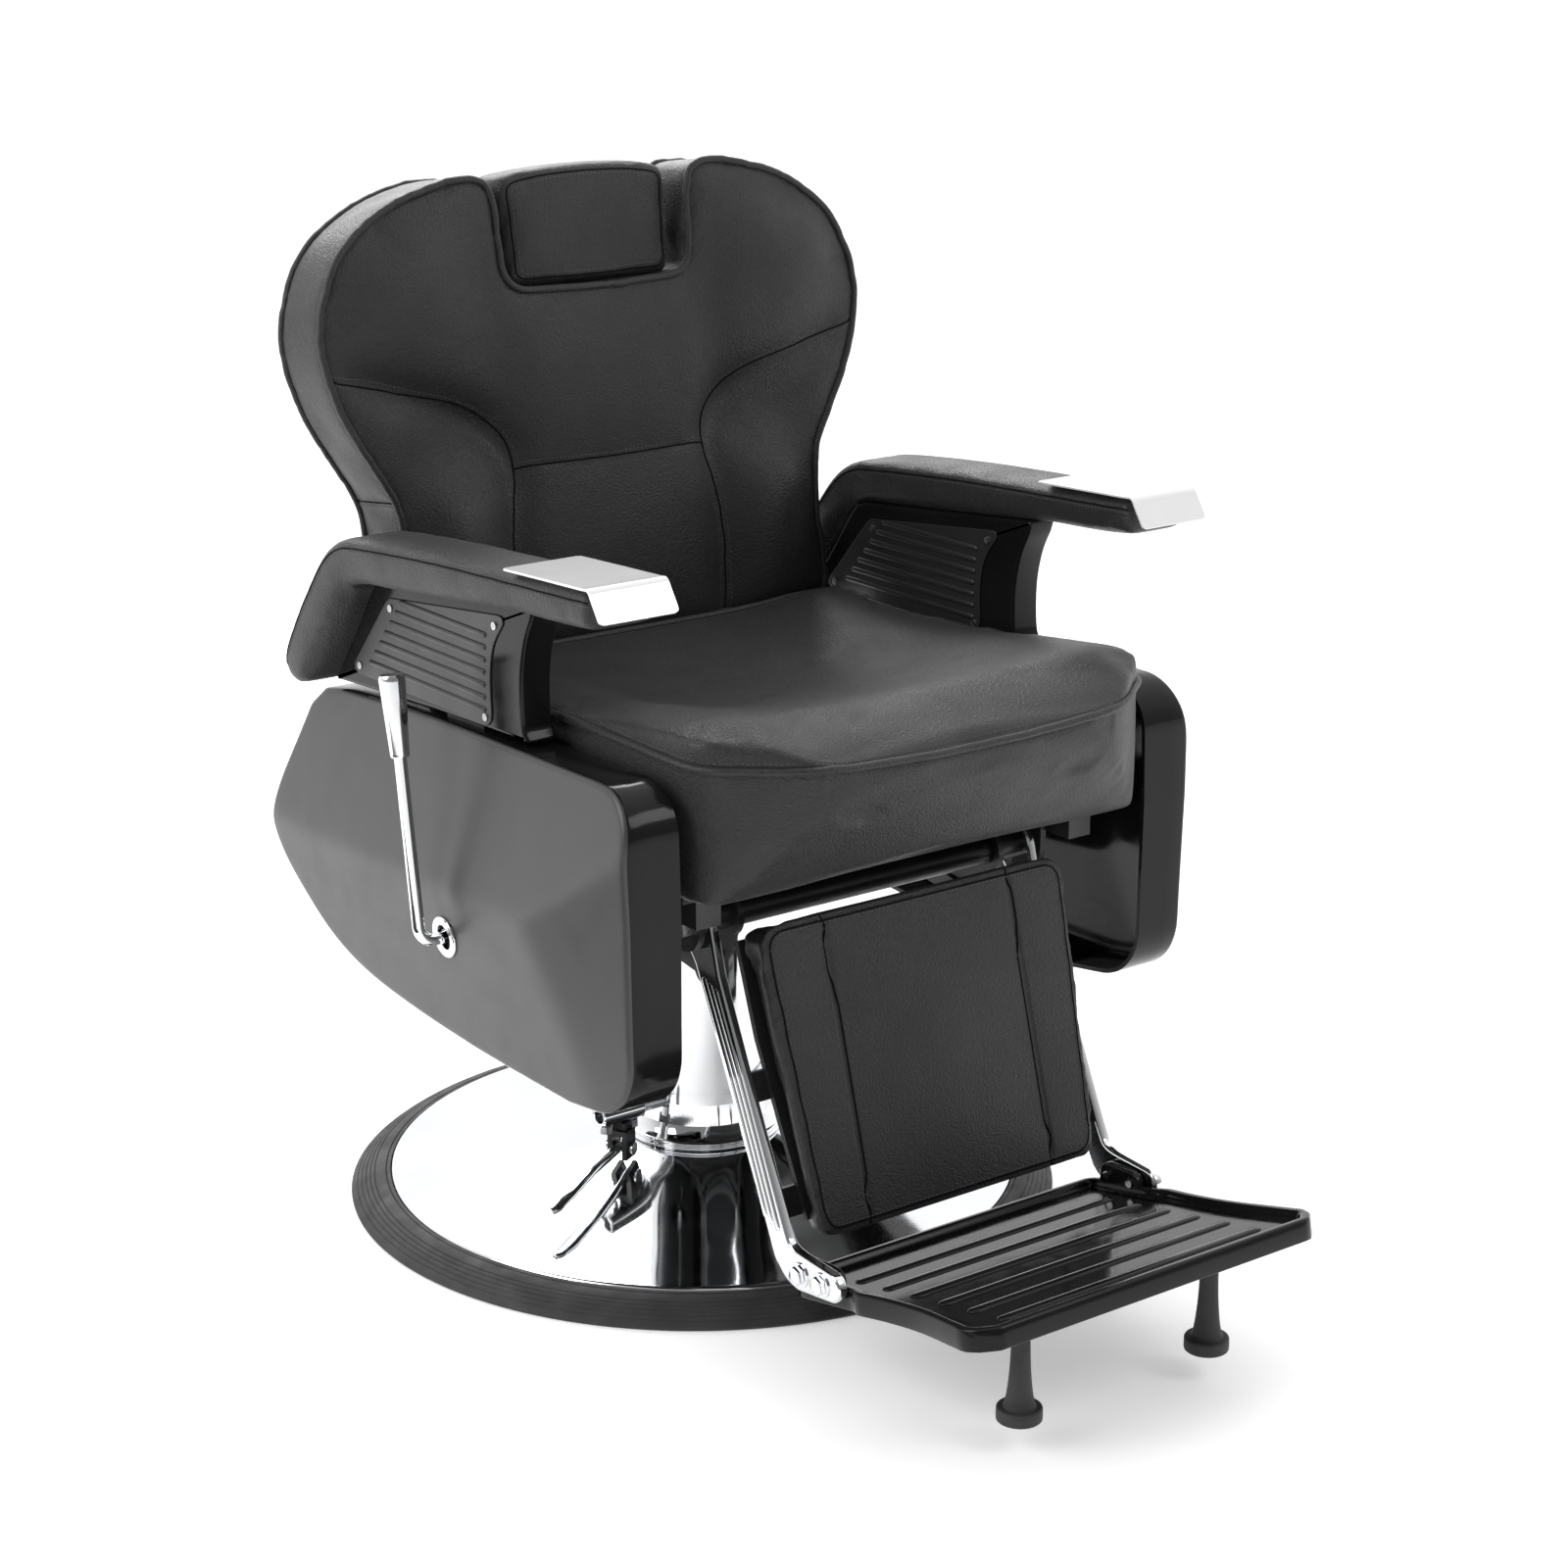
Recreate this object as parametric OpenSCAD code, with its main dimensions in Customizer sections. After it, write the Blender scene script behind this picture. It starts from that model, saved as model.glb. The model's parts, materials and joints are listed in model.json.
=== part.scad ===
// Hydraulic barber chair: pump base, reclining back, linked footrest and sliding headrest.
// The chair faces -Y. The origin is on the swivel axis at the floor.

/* [Base] */
// Outer diameter of the rubber ring on the floor
base_d = 670; // [560:5:810]
// Radial width of the rubber ring
ring_w = 38; // [28:1:50]
// Height of the chrome dish at its middle
dish_h = 54; // [46:1:66]
// Outer diameter of the chrome column cover
column_d = 124; // [118:1:150]
// Diameter of the lifting ram
ram_d = 48; // [40:1:58]
// Travel of the hydraulic lift
lift_travel = 160; // [100:5:190]

/* [Seat] */
// Height of the seat frame's underside with the chair at its lowest
frame_z = 380; // [340:1:456]
// Width of the seat cushion
seat_w = 480; // [400:1:576]
// Distance from the swivel axis to the rear edge of the seat cushion
seat_rear = 104; // [90:1:104]
// Thickness of the seat cushion at its rear
cushion_t = 118; // [98:1:130]

/* [Sides] */
// Width of the side panels from their open edge to their outer rim
panel_w = 54; // [45:1:65]
// Height of the pyramid on the outside of each side panel
panel_peak = 14; // [10:1:24]
// Wall of the moulded side panels
panel_wall = 4; // [3:0.5:6]
// Width of the arm pads
arm_w = 73; // [61:1:88]

/* [Back] */
// Thickness of the upholstered back
back_t = 78; // [72:1:94]
// Backward lean of the back when it is upright, in degrees
back_lean = 7.5; // [4:0.5:10]
// Width of the headrest
headrest_w = 182; // [152:1:200]
// Height of the headrest
headrest_h = 104; // [90:1:104]
// Diameter of the two headrest posts
post_d = 12; // [10:0.5:14]

/* [Footrest] */
// How far the footplate's brackets stand in from the sides of the seat
footplate_inset = 70; // [66:1:84]
// Height of the footplate's rim
rim_h = 19; // [16:1:23]
// Diameter of the feet under the footplate
foot_d = 38; // [32:1:46]

/* [Linkage] */
// Length of the cranks on the back's torque tube
back_crank = 45; // [38:1:54]
// Diameter of the linkage pins
link_pin_d = 12; // [10:0.5:14]

/* [Clearances] */
// Radial running clearance of shafts in their bores
run = 0.05; // [0.02:0.01:0.1]
// Radial clearance at the footrest end of the connecting rods
open_pivot = 1.2; // [1.2:0.1:2]

/* [Hidden] */
$fn = 64;

// Lanes across the chair, each a distance from the middle plane
half = seat_w / 2;
plate_in = half + 3;
plate_t = 8;
panel_in = plate_in + plate_t;
rim_x = panel_in + panel_w;
rail_in = half - 50;
rail_s = 25;
footplate_w = seat_w - 2 * footplate_inset;
bar_t = 10;
bar_out = footplate_w / 2 + bar_t;
bar_in = bar_out - bar_t;
crank_t = 6;
crank_in = bar_in - 30;
rod_in = crank_in + crank_t + 0.5;
arm_in = half + 6;
shell_in = half + 12;
shell_t = 30;
back_arm_in = half - 18;
back_arm_t = 8;

// Heights
head_z = frame_z - 32;
column_h = frame_z - 52;
board_z = frame_z + rail_s;
board_t = 6;
cushion_z = board_z + board_t;
ring_r = base_d / 2;
dish_r = ring_r - ring_w;
dish_edge = 17;
plate_h = 6;
pump_r = ram_d / 2 + 24;
cover_in = column_d / 2 - 2;

// Pivots, as [y, z]
back_pivot = [150, frame_z + 24.5];
back_foot = [0, 42.2, frame_z - 380];
foot_pivot = [-245, frame_z - 15];
pump_pivot = [-18, 98];
lever_pivot = [-57, frame_z - 55];
lever_x = rim_x + panel_peak + 16;
lever_lean = 8;
foot_crank = back_crank * sin(20) / sin(15);
span = back_pivot - foot_pivot;
crank_lean = atan2(span[1], span[0]) + asin((foot_crank - back_crank) / norm(span));
rod_rear = back_pivot + back_crank * [sin(crank_lean + 20), -cos(crank_lean + 20)];
rod_front = foot_pivot + foot_crank * [sin(crank_lean + 15), -cos(crank_lean + 15)];
lock_pin = back_pivot + back_crank * [sin(20), -cos(20)];
lock_x = bar_in - 45;
lock_z = back_pivot[1] - back_crank * (1 + cos(20)) / 2;
tube_r = 14;
head_w = lock_x - 35;
bolt_x = head_w - 20;
front_drop = 34;
ram_foot = head_z - 98 - lift_travel;
post_x = panel_in + 10;
post_gap = 0.5;
ladder_w = 30;

// Pedal
shaft_r = 7;
tube_x = -(column_d / 2 + 22);
tube_len = 46;
clevis = [tube_x - 21, pump_pivot[0], 62];
bar_turn = 28;

// Footplate: a plane that rises towards the front
plate_lean = 12.1;
plate_y = -367;
plate_z = 85;

// Points on a smooth curve through the points p, with n steps between two of them
function curve(p, n = 5) = concat([
    for (i = [0 : len(p) - 2], k = [0 : n - 1])
        let (a = p[max(i - 1, 0)], b = p[i], c = p[i + 1], d = p[min(i + 2, len(p) - 1)], t = k / n)
        (2 * b + (c - a) * t + (2 * a - 5 * b + 4 * c - d) * t * t + (3 * b - a - 3 * c + d) * t * t * t) / 2
    ], [p[len(p) - 1]]);

// The points p of a right half, closed by their mirror image
function both_halves(p) = concat(p, [for (i = [len(p) - 1 : -1 : 0]) [-p[i][0], p[i][1]]]);

// Arc of radius r about c from angle a to angle b
function arc(c, r, a, b, n = 6) = [for (i = [0 : n]) c + r * [cos(a + (b - a) * i / n), sin(a + (b - a) * i / n)]];

// A side profile in (y, z), extruded across the chair from x0 over the width w
module across(x0, w) {
    translate([x0, 0, 0])
        rotate([90, 0, 90])
            linear_extrude(w)
                children();
}

// A round bar along X from x0 over the length w, at p = [y, z]
module bar_x(x0, w, p, r) {
    translate([x0, p[0], p[1]])
        rotate([0, 90, 0])
            cylinder(h = w, r = r);
}

// A child and its mirror image on the other side of the chair
module pair() {
    children();
    mirror([1, 0, 0]) children();
}

// The back's own frame: x across, y into the back from its front face, z up the slope
module on_back() {
    translate(back_foot)
        rotate([-back_lean, 0, 0])
            children();
}

// A flat outline in the back's (x, z), from depth y0 over the thickness t
module slab(y0, t) {
    translate([0, y0 + t, 0])
        rotate([90, 0, 0])
            linear_extrude(t)
                children();
}

// The footplate's own frame: x across, y forwards is negative, z square to the plate
module on_footplate() {
    translate([0, plate_y, plate_z])
        rotate([-plate_lean, 0, 0])
            children();
}

// Rounded slot along the first axis, from a to b, with the half width r
module slot(a, b, r) {
    translate([a, -r]) square([b - a, 2 * r]);
    translate([a, 0]) circle(r);
    translate([b, 0]) circle(r);
}

// ---------- base ----------

module base_plate() {
    color("dimgray")
        cylinder(h = plate_h, r = dish_r - 14, $fn = 128);
}

module base_ring() {
    groove = 1.5;
    ledge = dish_edge;
    inner = dish_r - 12;
    color([0.09, 0.09, 0.1])
        rotate_extrude($fn = 160)
            polygon(concat(
                [[inner, 0], [ring_r - 2, 0], [ring_r, 2], [ring_r, 8], [ring_r - 3, 11.5]],
                [for (i = [0 : 3], k = [0 : 2])
                    [ring_r - 5 - 5 * i - 1.5 * k, 12.6 + 1.1 * i + 0.3 * k - (k == 1 ? groove : 0)]],
                [[dish_r + 11, 18.5], [dish_r + 3, 20], [dish_r + 0.5, 20], [dish_r + 0.5, ledge], [inner, ledge]]));
}

module base_dish() {
    wall = 3;
    top = [[dish_r, dish_edge], [dish_r, dish_edge + 3], [dish_r - 4, dish_edge + 5.5],
        [dish_r - 60, dish_edge + 10], [150, dish_h - 17], [105, dish_h - 8], [76, dish_h]];
    under = [for (i = [len(top) - 1 : -1 : 2]) top[i] - [0, wall]];
    color("silver")
        rotate_extrude($fn = 160)
            polygon(concat(top, [[column_d / 2 + 4, dish_h], [column_d / 2 + 4, dish_h - wall]],
                under, [[dish_r - 8, dish_edge]]));
}

module base_bolts() {
    color("gray")
        for (a = [45 : 90 : 315])
            rotate(a)
                translate([pump_r + 32, 0, plate_h + 12]) {
                    cylinder(h = 2, r = 12);
                    translate([0, 0, 2]) cylinder(h = 7, r = 9, $fn = 6);
                }
}

module pump_body() {
    color("dimgray")
        difference() {
            union() {
                translate([0, 0, plate_h]) cylinder(h = 12, r = pump_r + 47);
                translate([0, 0, plate_h]) cylinder(h = column_h - 12 - plate_h, r = pump_r);
                bar_x(-(cover_in - 14), cover_in - 34, pump_pivot, 14);
            }
            translate([0, 0, ram_foot - 30]) cylinder(h = column_h, r = ram_d / 2 + run);
            bar_x(-column_d, column_d - ram_d / 2 - 5, pump_pivot, shaft_r + run);
        }
}

module pump_seal() {
    color([0.1, 0.1, 0.1])
        translate([0, 0, column_h - 12])
            difference() {
                cylinder(h = 7, r = ram_d / 2 + 8);
                translate([0, 0, -1]) cylinder(h = 9, r = ram_d / 2 + run);
            }
}

module column_cover() {
    r = column_d / 2;
    lip = r + 14;
    flare = curve([[lip - 2, dish_h + 9], [lip - 7, dish_h + 16], [r + 2, dish_h + 34], [r, dish_h + 62]]);
    outer = concat([[lip, dish_h + 1], [lip, dish_h + 7]], flare, [[r, column_h - 4], [r - 4, column_h]]);
    inner = [[ram_d / 2 + 9, column_h], [ram_d / 2 + 9, column_h - 2], [r - 4, column_h - 2],
        [r - 2, column_h - 5], [r - 2, dish_h + 61], [r, dish_h + 34], [lip - 9, dish_h + 15],
        [lip - 5, dish_h + 1]];
    color("silver")
        difference() {
            rotate_extrude($fn = 128) polygon(concat(outer, inner));
            bar_x(-r - 20, 60, pump_pivot, shaft_r + 4);
        }
}

// ---------- pedal ----------

module pump_shaft() {
    color("silver")
        bar_x(tube_x - 26, -tube_x + 26 - ram_d / 2 - 6, pump_pivot, shaft_r);
}

module pedal_tube() {
    color("silver")
        difference() {
            bar_x(tube_x - tube_len, tube_len, pump_pivot, shaft_r + 4);
            bar_x(tube_x - tube_len - 1, tube_len + 2, pump_pivot, shaft_r);
            for (x = clamp_places())
                translate([x, pump_pivot[0], pump_pivot[1] - shaft_r - 5]) cylinder(h = 10, r = 3.1);
        }
}

module pedal_crank() {
    y = pump_pivot[0];
    low = clevis[2] - 10;
    drop = pump_pivot[1] - shaft_r - 4 - low;
    color([0.12, 0.12, 0.12])
        difference() {
            translate([clevis[0], y, 0])
                rotate(bar_turn)
                    union() {
                        translate([-5, -7, low + 24]) cube([10, 14, drop - 24]);
                        translate([-9, -10, low + 23]) cube([18, 20, 5]);
                        for (s = [-10, 5])
                            translate([-9, s, low]) cube([18, 5, 24]);
                    }
            bar_x(clevis[0] - 30, 60, pump_pivot, shaft_r + 4);
            on_clevis() rotate([90, 0, 0]) cylinder(h = 40, r = 4, center = true);
        }
}

// The clevis pin's frame: x along the foot bar towards the column
module on_clevis() {
    translate(clevis)
        rotate(bar_turn)
            children();
}

function clamp_places() = [tube_x - 9, tube_x - tube_len + 8];

module pedal_bolts() {
    r = shaft_r + 4;
    color("silver")
        for (x = clamp_places())
            translate([x, pump_pivot[0], pump_pivot[1] - r - 7]) {
                cylinder(h = 7, r = 6, $fn = 6);
                translate([0, 0, 6.9]) cylinder(h = r - shaft_r - 0.3, r = 3);
            }
}

module pedal_pin() {
    color("silver")
        on_clevis()
            rotate([90, 0, 0])
                union() {
                    cylinder(h = 24, r = 4, center = true);
                    translate([0, 0, 12]) cylinder(h = 2, r = 6);
                    translate([0, 0, -14]) cylinder(h = 2, r = 6);
                }
}

// Tapered foot bar, flat and wide towards its tip
module foot_bar() {
    length = 134;
    plan = curve([[8, -4], [-12, -4.2], [-60, -6], [-length + 30, -8.5], [-length + 6, -7], [-length, 0]]);
    side = [[8, 6], [-14, 6], [-60, 2], [-length, -8], [-length - 1, -12], [-length + 6, -17],
        [-60, -6], [-14, -5], [8, -5]];
    color("silver")
        on_clevis()
            difference() {
                intersection() {
                    translate([0, 0, -30]) linear_extrude(60)
                        polygon(concat(plan, [for (i = [len(plan) - 2 : -1 : 0]) [plan[i][0], -plan[i][1]]]));
                    translate([0, 20, 0]) rotate([90, 0, 0]) linear_extrude(40) polygon(side);
                }
                rotate([90, 0, 0]) cylinder(h = 40, r = 4 + run, center = true);
            }
}

// ---------- lift and swivel ----------

module ram() {
    color("gainsboro") {
        translate([0, 0, ram_foot]) cylinder(h = head_z - 3 - ram_foot, r = ram_d / 2);
        translate([0, 0, head_z - 3]) cylinder(h = 33, r = ram_d / 2 - 4);
    }
}

module thrust_washer() {
    color("goldenrod")
        translate([0, 0, head_z - 3])
            difference() {
                cylinder(h = 2.9, r = ram_d / 2 + 10);
                translate([0, 0, -1]) cylinder(h = 6, r = ram_d / 2 - 4);
            }
}

module swivel_head() {
    color("dimgray")
        difference() {
            union() {
                translate([0, 0, head_z]) cylinder(h = 24, r = ram_d / 2 + 16);
                translate([-head_w, -90, frame_z - 8]) cube([2 * head_w, 180, 8]);
            }
            translate([0, 0, head_z - 1]) cylinder(h = 40, r = ram_d / 2 - 4 + run);
            for (x = [-bolt_x, bolt_x], y = [-75, 75])
                translate([x, y, frame_z - 10]) cylinder(h = 12, r = 5.5);
        }
}

module swivel_bolts() {
    color("gray")
        for (x = [-bolt_x, bolt_x], y = [-75, 75])
            translate([x, y, frame_z - 15]) {
                cylinder(h = 7, r = 8.5, $fn = 6);
                translate([0, 0, 7]) cylinder(h = 14, r = 5);
            }
}

// ---------- seat structure ----------

module seat_rails() {
    color("dimgray")
        pair()
            translate([rail_in, -300, frame_z])
                cube([rail_s, 420, rail_s]);
}

module seat_crossbars() {
    color("dimgray")
        difference() {
            union() {
                for (y = [-87.5, 62.5, 95])
                    translate([-rail_in, y, frame_z])
                        cube([2 * rail_in, rail_s, rail_s]);
                translate([-rail_in, -220, frame_z - front_drop])
                    cube([2 * rail_in, rail_s, rail_s + front_drop]);
                for (y = [-87.5, 95])
                    translate([lock_x - 20, y, lock_z - 20])
                        cube([40, rail_s, frame_z - lock_z + 20.5]);
            }
            translate([lock_x, -100, lock_z]) rotate([-90, 0, 0]) cylinder(h = 300, r = 16.05);
            for (x = [-bolt_x, bolt_x], y = [-75, 75])
                translate([x, y, frame_z - 1]) cylinder(h = 12, r = 5.5);
        }
}

module side_spacers() {
    color("dimgray")
        pair()
            for (y = [-170, 70])
                translate([rail_in + rail_s, y, frame_z])
                    cube([plate_in - rail_in - rail_s, 40, rail_s]);
}

module side_plates() {
    f = frame_z;
    color("dimgray")
        difference() {
            pair()
                across(plate_in, plate_t)
                    polygon([[-180, f - 70], [60, f - 90], [178, f - 40], [188, f + 25], [178, f + 60],
                        [60, f + 100], [-100, f + 105], [-180, f + 60]]);
            bar_x(-plate_in - 20, 2 * plate_in + 40, back_pivot, 14);
            bar_x(-plate_in - 20, 30, lever_pivot, 9);
        }
}

module seat_board() {
    color("burlywood")
        translate([-half + 12, -300, board_z])
            cube([seat_w - 24, seat_rear + 290, board_t]);
}

module seat_cushion() {
    z = cushion_z;
    plan = curve([[half, seat_rear - 12], [half, -200], [half, -322], [half - 32, -362], [half - 80, -396],
        [half - 140, -406], [0, -409]]);
    side = concat([[seat_rear, z], [seat_rear, z + cushion_t - 6]],
        curve([[seat_rear - 8, z + cushion_t], [0, z + cushion_t - 4], [-120, z + cushion_t + 2],
            [-220, z + cushion_t + 16], [-310, z + cushion_t + 20], [-372, z + cushion_t + 14],
            [-402, z + cushion_t], [-408, z + cushion_t - 8], [-398, z + 80], [-370, z + 34], [-343, z]]));
    color([0.1, 0.1, 0.1])
        intersection() {
            linear_extrude(z + 200)
                polygon(concat([[half - 14, seat_rear]], plan,
                    [for (i = [len(plan) - 2 : -1 : 0]) [-plan[i][0], plan[i][1]]], [[-half + 14, seat_rear]]));
            across(-half, seat_w) polygon(side);
        }
}

// ---------- side panels ----------

// Outline of a side panel in (y, z), drawn in by the wall w
function panel_outline(w = 0) = let (f = frame_z) concat(
    curve([[200 - w, f + 106 - w], [140, f + 116 - w], [0, f + 125.5 - w], [-140, f + 131 - w], [-270, f + 136 - w]]),
    arc([-285, f + 92], 44 - w, 90, 180, 5),
    curve([[-331 + w, f + 30], [-330 + w, f - 60]], 2),
    arc([-274, f - 90], 56 - w, 180, 262, 5),
    curve([[-240, f - 152 + w], [-100, f - 153.5 + w], [20, f - 150 + w], [110, f - 141 + w], [172, f - 122 + w],
        [222 - w, f - 90 + w], [254 - w, f - 60 + w], [268 - w, f - 28], [262 - w, f + 5],
        [238 - w, f + 55], [222 - w, f + 88]]));

module side_panel_shell() {
    apex = [rim_x + panel_peak, -192, frame_z - 1];
    difference() {
        union() {
            across(panel_in, panel_w) polygon(panel_outline());
            hull() {
                across(rim_x - 1, 1) polygon(panel_outline());
                translate(apex) sphere(r = 0.5, $fn = 8);
            }
        }
        across(panel_in - 1, panel_w - 2) polygon(panel_outline(panel_wall));
        hull() {
            across(rim_x - 3, 1) polygon(panel_outline(panel_wall));
            translate(apex - [panel_wall + 1, 0, 0]) sphere(r = 0.5, $fn = 8);
        }
        post_hole();
    }
}

module side_panel_left() {
    color([0.28, 0.28, 0.29])
        difference() {
            mirror([1, 0, 0]) side_panel_shell();
            bar_x(-rim_x - 60, 90, lever_pivot, 11);
        }
}

module side_panel_right() {
    color([0.28, 0.28, 0.29])
        side_panel_shell();
}

// ---------- arms ----------

// Space that an arm post takes up in the side panel and in the arm shell
module post_hole() {
    translate([post_x - post_gap, -70 - post_gap, frame_z + 90])
        cube([12 + 2 * post_gap, 60 + 2 * post_gap, 150 + post_gap]);
}

module arm_posts() {
    color("dimgray")
        pair() {
            translate([panel_in, -70, frame_z + 60]) cube([29, 60, 12]);
            translate([post_x, -70, frame_z + 72]) cube([12, 60, 168]);
        }
}

// Underside of an arm pad in (y, z), from the foot of its rear leg to its front
function pad_under() = let (f = frame_z)
    [[172, f + 122], [126, f + 183], [102, f + 217], [92, f + 228], [80, f + 232], [-59, f + 246],
    [-187, f + 259.5], [-306, f + 266]];

// Side outline of an arm shell in (y, z), which fills the space under the pad
function shell_outline() = let (f = frame_z) concat(
    [for (i = [0 : 5]) pad_under()[i] - [0.6, 0.6]],
    [[-168, f + 256.6]],
    curve([[-164, f + 244], [-153, f + 222], [-146, f + 190], [-147, f + 150], [-154, f + 137.5]], 4),
    [[0, f + 132], [120, f + 125]]);

module arm_shell() {
    difference() {
        across(shell_in, shell_t) polygon(shell_outline());
        post_hole();
    }
}

module arm_shell_left() {
    color([0.05, 0.05, 0.05])
        mirror([1, 0, 0]) arm_shell();
}

module arm_shell_right() {
    color([0.05, 0.05, 0.05])
        arm_shell();
}

// Outline of the ribbed inserts in (y, z)
function insert_outline() = let (f = frame_z) concat(
    [[66, f + 218], [74, f + 212], [133, f + 146], [133, f + 140], [127, f + 137]],
    [[-92, f + 138], [-99, f + 144]],
    curve([[-100, f + 152], [-99, f + 182], [-105, f + 210], [-122, f + 233]], 4),
    [[-120, f + 239], [-112, f + 239]]);

// Left and right ends of insert rib i, and its height
function rib_z(i) = frame_z + 152 + 11 * i;
function rib_rear(i) = 114 - 9.5 * i;
function rib_front(i) = -89 - 1.2 * max(0, i - 3);

module arm_insert() {
    across(shell_in + shell_t, 1.5) polygon(insert_outline());
    for (i = [0 : 6])
        across(shell_in + shell_t + 1.5, 1.2)
            translate([0, rib_z(i)])
                slot(rib_front(i), rib_rear(i) - 12, 2.4);
}

// The insert turned to the inner face of the same arm shell
module inner_insert() {
    translate([2 * shell_in + shell_t, 0, 0])
        mirror([1, 0, 0])
            children();
}

module arm_inserts() {
    color([0.2, 0.2, 0.2])
        pair() {
            arm_insert();
            inner_insert() arm_insert();
        }
}

module insert_screw(p) {
    x = shell_in + shell_t + 1.5;
    difference() {
        bar_x(x, 1.4, p, 3.4);
        translate([x + 1.2, p[0] - 2.2, p[1] - 0.5]) cube([1, 4.4, 1]);
        translate([x + 1.2, p[0] - 0.5, p[1] - 2.2]) cube([1, 1, 4.4]);
    }
}

module insert_screws() {
    f = frame_z;
    places = [[64, f + 209], [122, f + 145], [-91, f + 146], [-109, f + 229]];
    color("silver")
        pair()
            for (p = places) {
                insert_screw(p);
                inner_insert() insert_screw(p);
            }
}

module arm_pad() {
    f = frame_z;
    across(arm_in, arm_w)
        polygon(concat(
            curve([[-301, f + 301], [-180, f + 295], [-60, f + 288], [60, f + 277], [100, f + 270], [130, f + 252],
                [156, f + 223], [182, f + 190], [208, f + 150], [208, f + 130], [196, f + 118], [184, f + 116]]),
            pad_under()));
}

module arm_pad_left() {
    color([0.12, 0.12, 0.12])
        mirror([1, 0, 0]) arm_pad();
}

module arm_pad_right() {
    color([0.12, 0.12, 0.12])
        arm_pad();
}

module arm_cap() {
    f = frame_z;
    t = 2;
    across(arm_in - 1, arm_w + 2)
        polygon([[-182, f + 295.5], [-182, f + 295.5 + t], [-308, f + 304], [-313, f + 302], [-325, f + 279],
            [-323, f + 278], [-311, f + 299], [-307, f + 302]]);
}

module arm_cap_left() {
    color("silver")
        mirror([1, 0, 0]) arm_cap();
}

module arm_cap_right() {
    color("silver")
        arm_cap();
}

// ---------- pivots fixed to the seat ----------

module footrest_brackets() {
    p = foot_pivot;
    color("dimgray")
        pair()
            difference() {
                across(bar_out + 4, rail_in - bar_out - 4) {
                    translate([p[0] - 24, p[1]]) square([48, frame_z + rail_s - p[1]]);
                    translate(p) circle(24);
                }
                bar_x(bar_out, 30, p, 8);
            }
}

module footrest_pivots() {
    p = foot_pivot;
    color("silver")
        pair() {
            bar_x(bar_in, rail_in - bar_in, p, 8);
            bar_x(bar_out + 0.5, 3.5, p, 14);
            translate([rail_in, p[0], p[1]]) rotate([0, 90, 0]) cylinder(h = 8, r = 13, $fn = 6);
        }
}

module back_pivots() {
    color("silver")
        pair() {
            bar_x(back_arm_in + 1, plate_in + plate_t - back_arm_in - 1, back_pivot, 10);
            bar_x(plate_in, plate_t, back_pivot, 14);
            bar_x(back_arm_in + back_arm_t + 0.5, plate_in - back_arm_in - back_arm_t - 0.5, back_pivot, 15);
        }
}

// ---------- recline lock and lever ----------

module lock_barrel() {
    color("dimgray")
        translate([lock_x, -70, lock_z])
            rotate([-90, 0, 0])
                difference() {
                    cylinder(h = 186, r = 16);
                    translate([0, 0, 30]) cylinder(h = 146, r = 12.05);
                    translate([0, 0, 20]) cylinder(h = 180, r = 5 + run);
                }
}

module lock_rod() {
    y0 = 62;
    eye = lock_pin[0];
    color("silver")
        difference() {
            union() {
                translate([lock_x, y0, lock_z]) rotate([-90, 0, 0]) cylinder(h = eye - 10 - y0, r = 5);
                translate([lock_x, y0, lock_z]) rotate([-90, 0, 0]) cylinder(h = 14, r = 12);
                translate([lock_x - 4, eye - 11, lock_z - 11]) cube([8, 22, 22]);
            }
            across(lock_x - 5, 10)
                translate([eye, lock_z])
                    rotate(90)
                        slot(-1.8, 1.8, 5.35);
        }
}

module lever_bush() {
    color("goldenrod")
        difference() {
            bar_x(-plate_in - plate_t, plate_t + 4, lever_pivot, 9);
            bar_x(-plate_in - plate_t - 1, plate_t + 6, lever_pivot, 5.5 + run);
        }
}

module lever_ring() {
    color("silver")
        difference() {
            translate([-rim_x, lever_pivot[0], lever_pivot[1]])
                rotate([0, -90, 0])
                    difference() {
                        cylinder(h = panel_peak + 4, r = 19);
                        translate([0, 0, -1]) cylinder(h = panel_peak + 8, r = 11.5);
                    }
            mirror([1, 0, 0]) side_panel_shell();
        }
}

// The lever's own frame: origin on its pivot, z up the leaning rod
module on_lever() {
    translate([0, lever_pivot[0], lever_pivot[1]])
        rotate([-lever_lean, 0, 0])
            children();
}

module recline_lever() {
    bend = 14;
    color("silver")
        on_lever() {
            bar_x(bend - lever_x, lever_x - plate_in + 12 - bend, [0, 0], 5.5);
            translate([bend - lever_x, 0, bend])
                rotate([90, 0, 0])
                    rotate_extrude(angle = 90)
                        translate([-bend, 0]) circle(5.5);
            translate([-lever_x, 0, bend]) cylinder(h = 149, r = 5.5);
            bar_x(-plate_in + 5, 7, [0, 0], 12);
            across(-plate_in + 5, 7)
                polygon([[-4, -34], [4, -34], [9, 0], [-9, 0]]);
        }
}

module lever_knob() {
    color("silver")
        on_lever()
            translate([-lever_x, 0, 163])
                rotate_extrude()
                    polygon([[0, 0], [8, 0], [8.5, 1], [11.5, 68], [10.5, 71], [0, 71.5]]);
}

// ---------- back ----------

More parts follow.
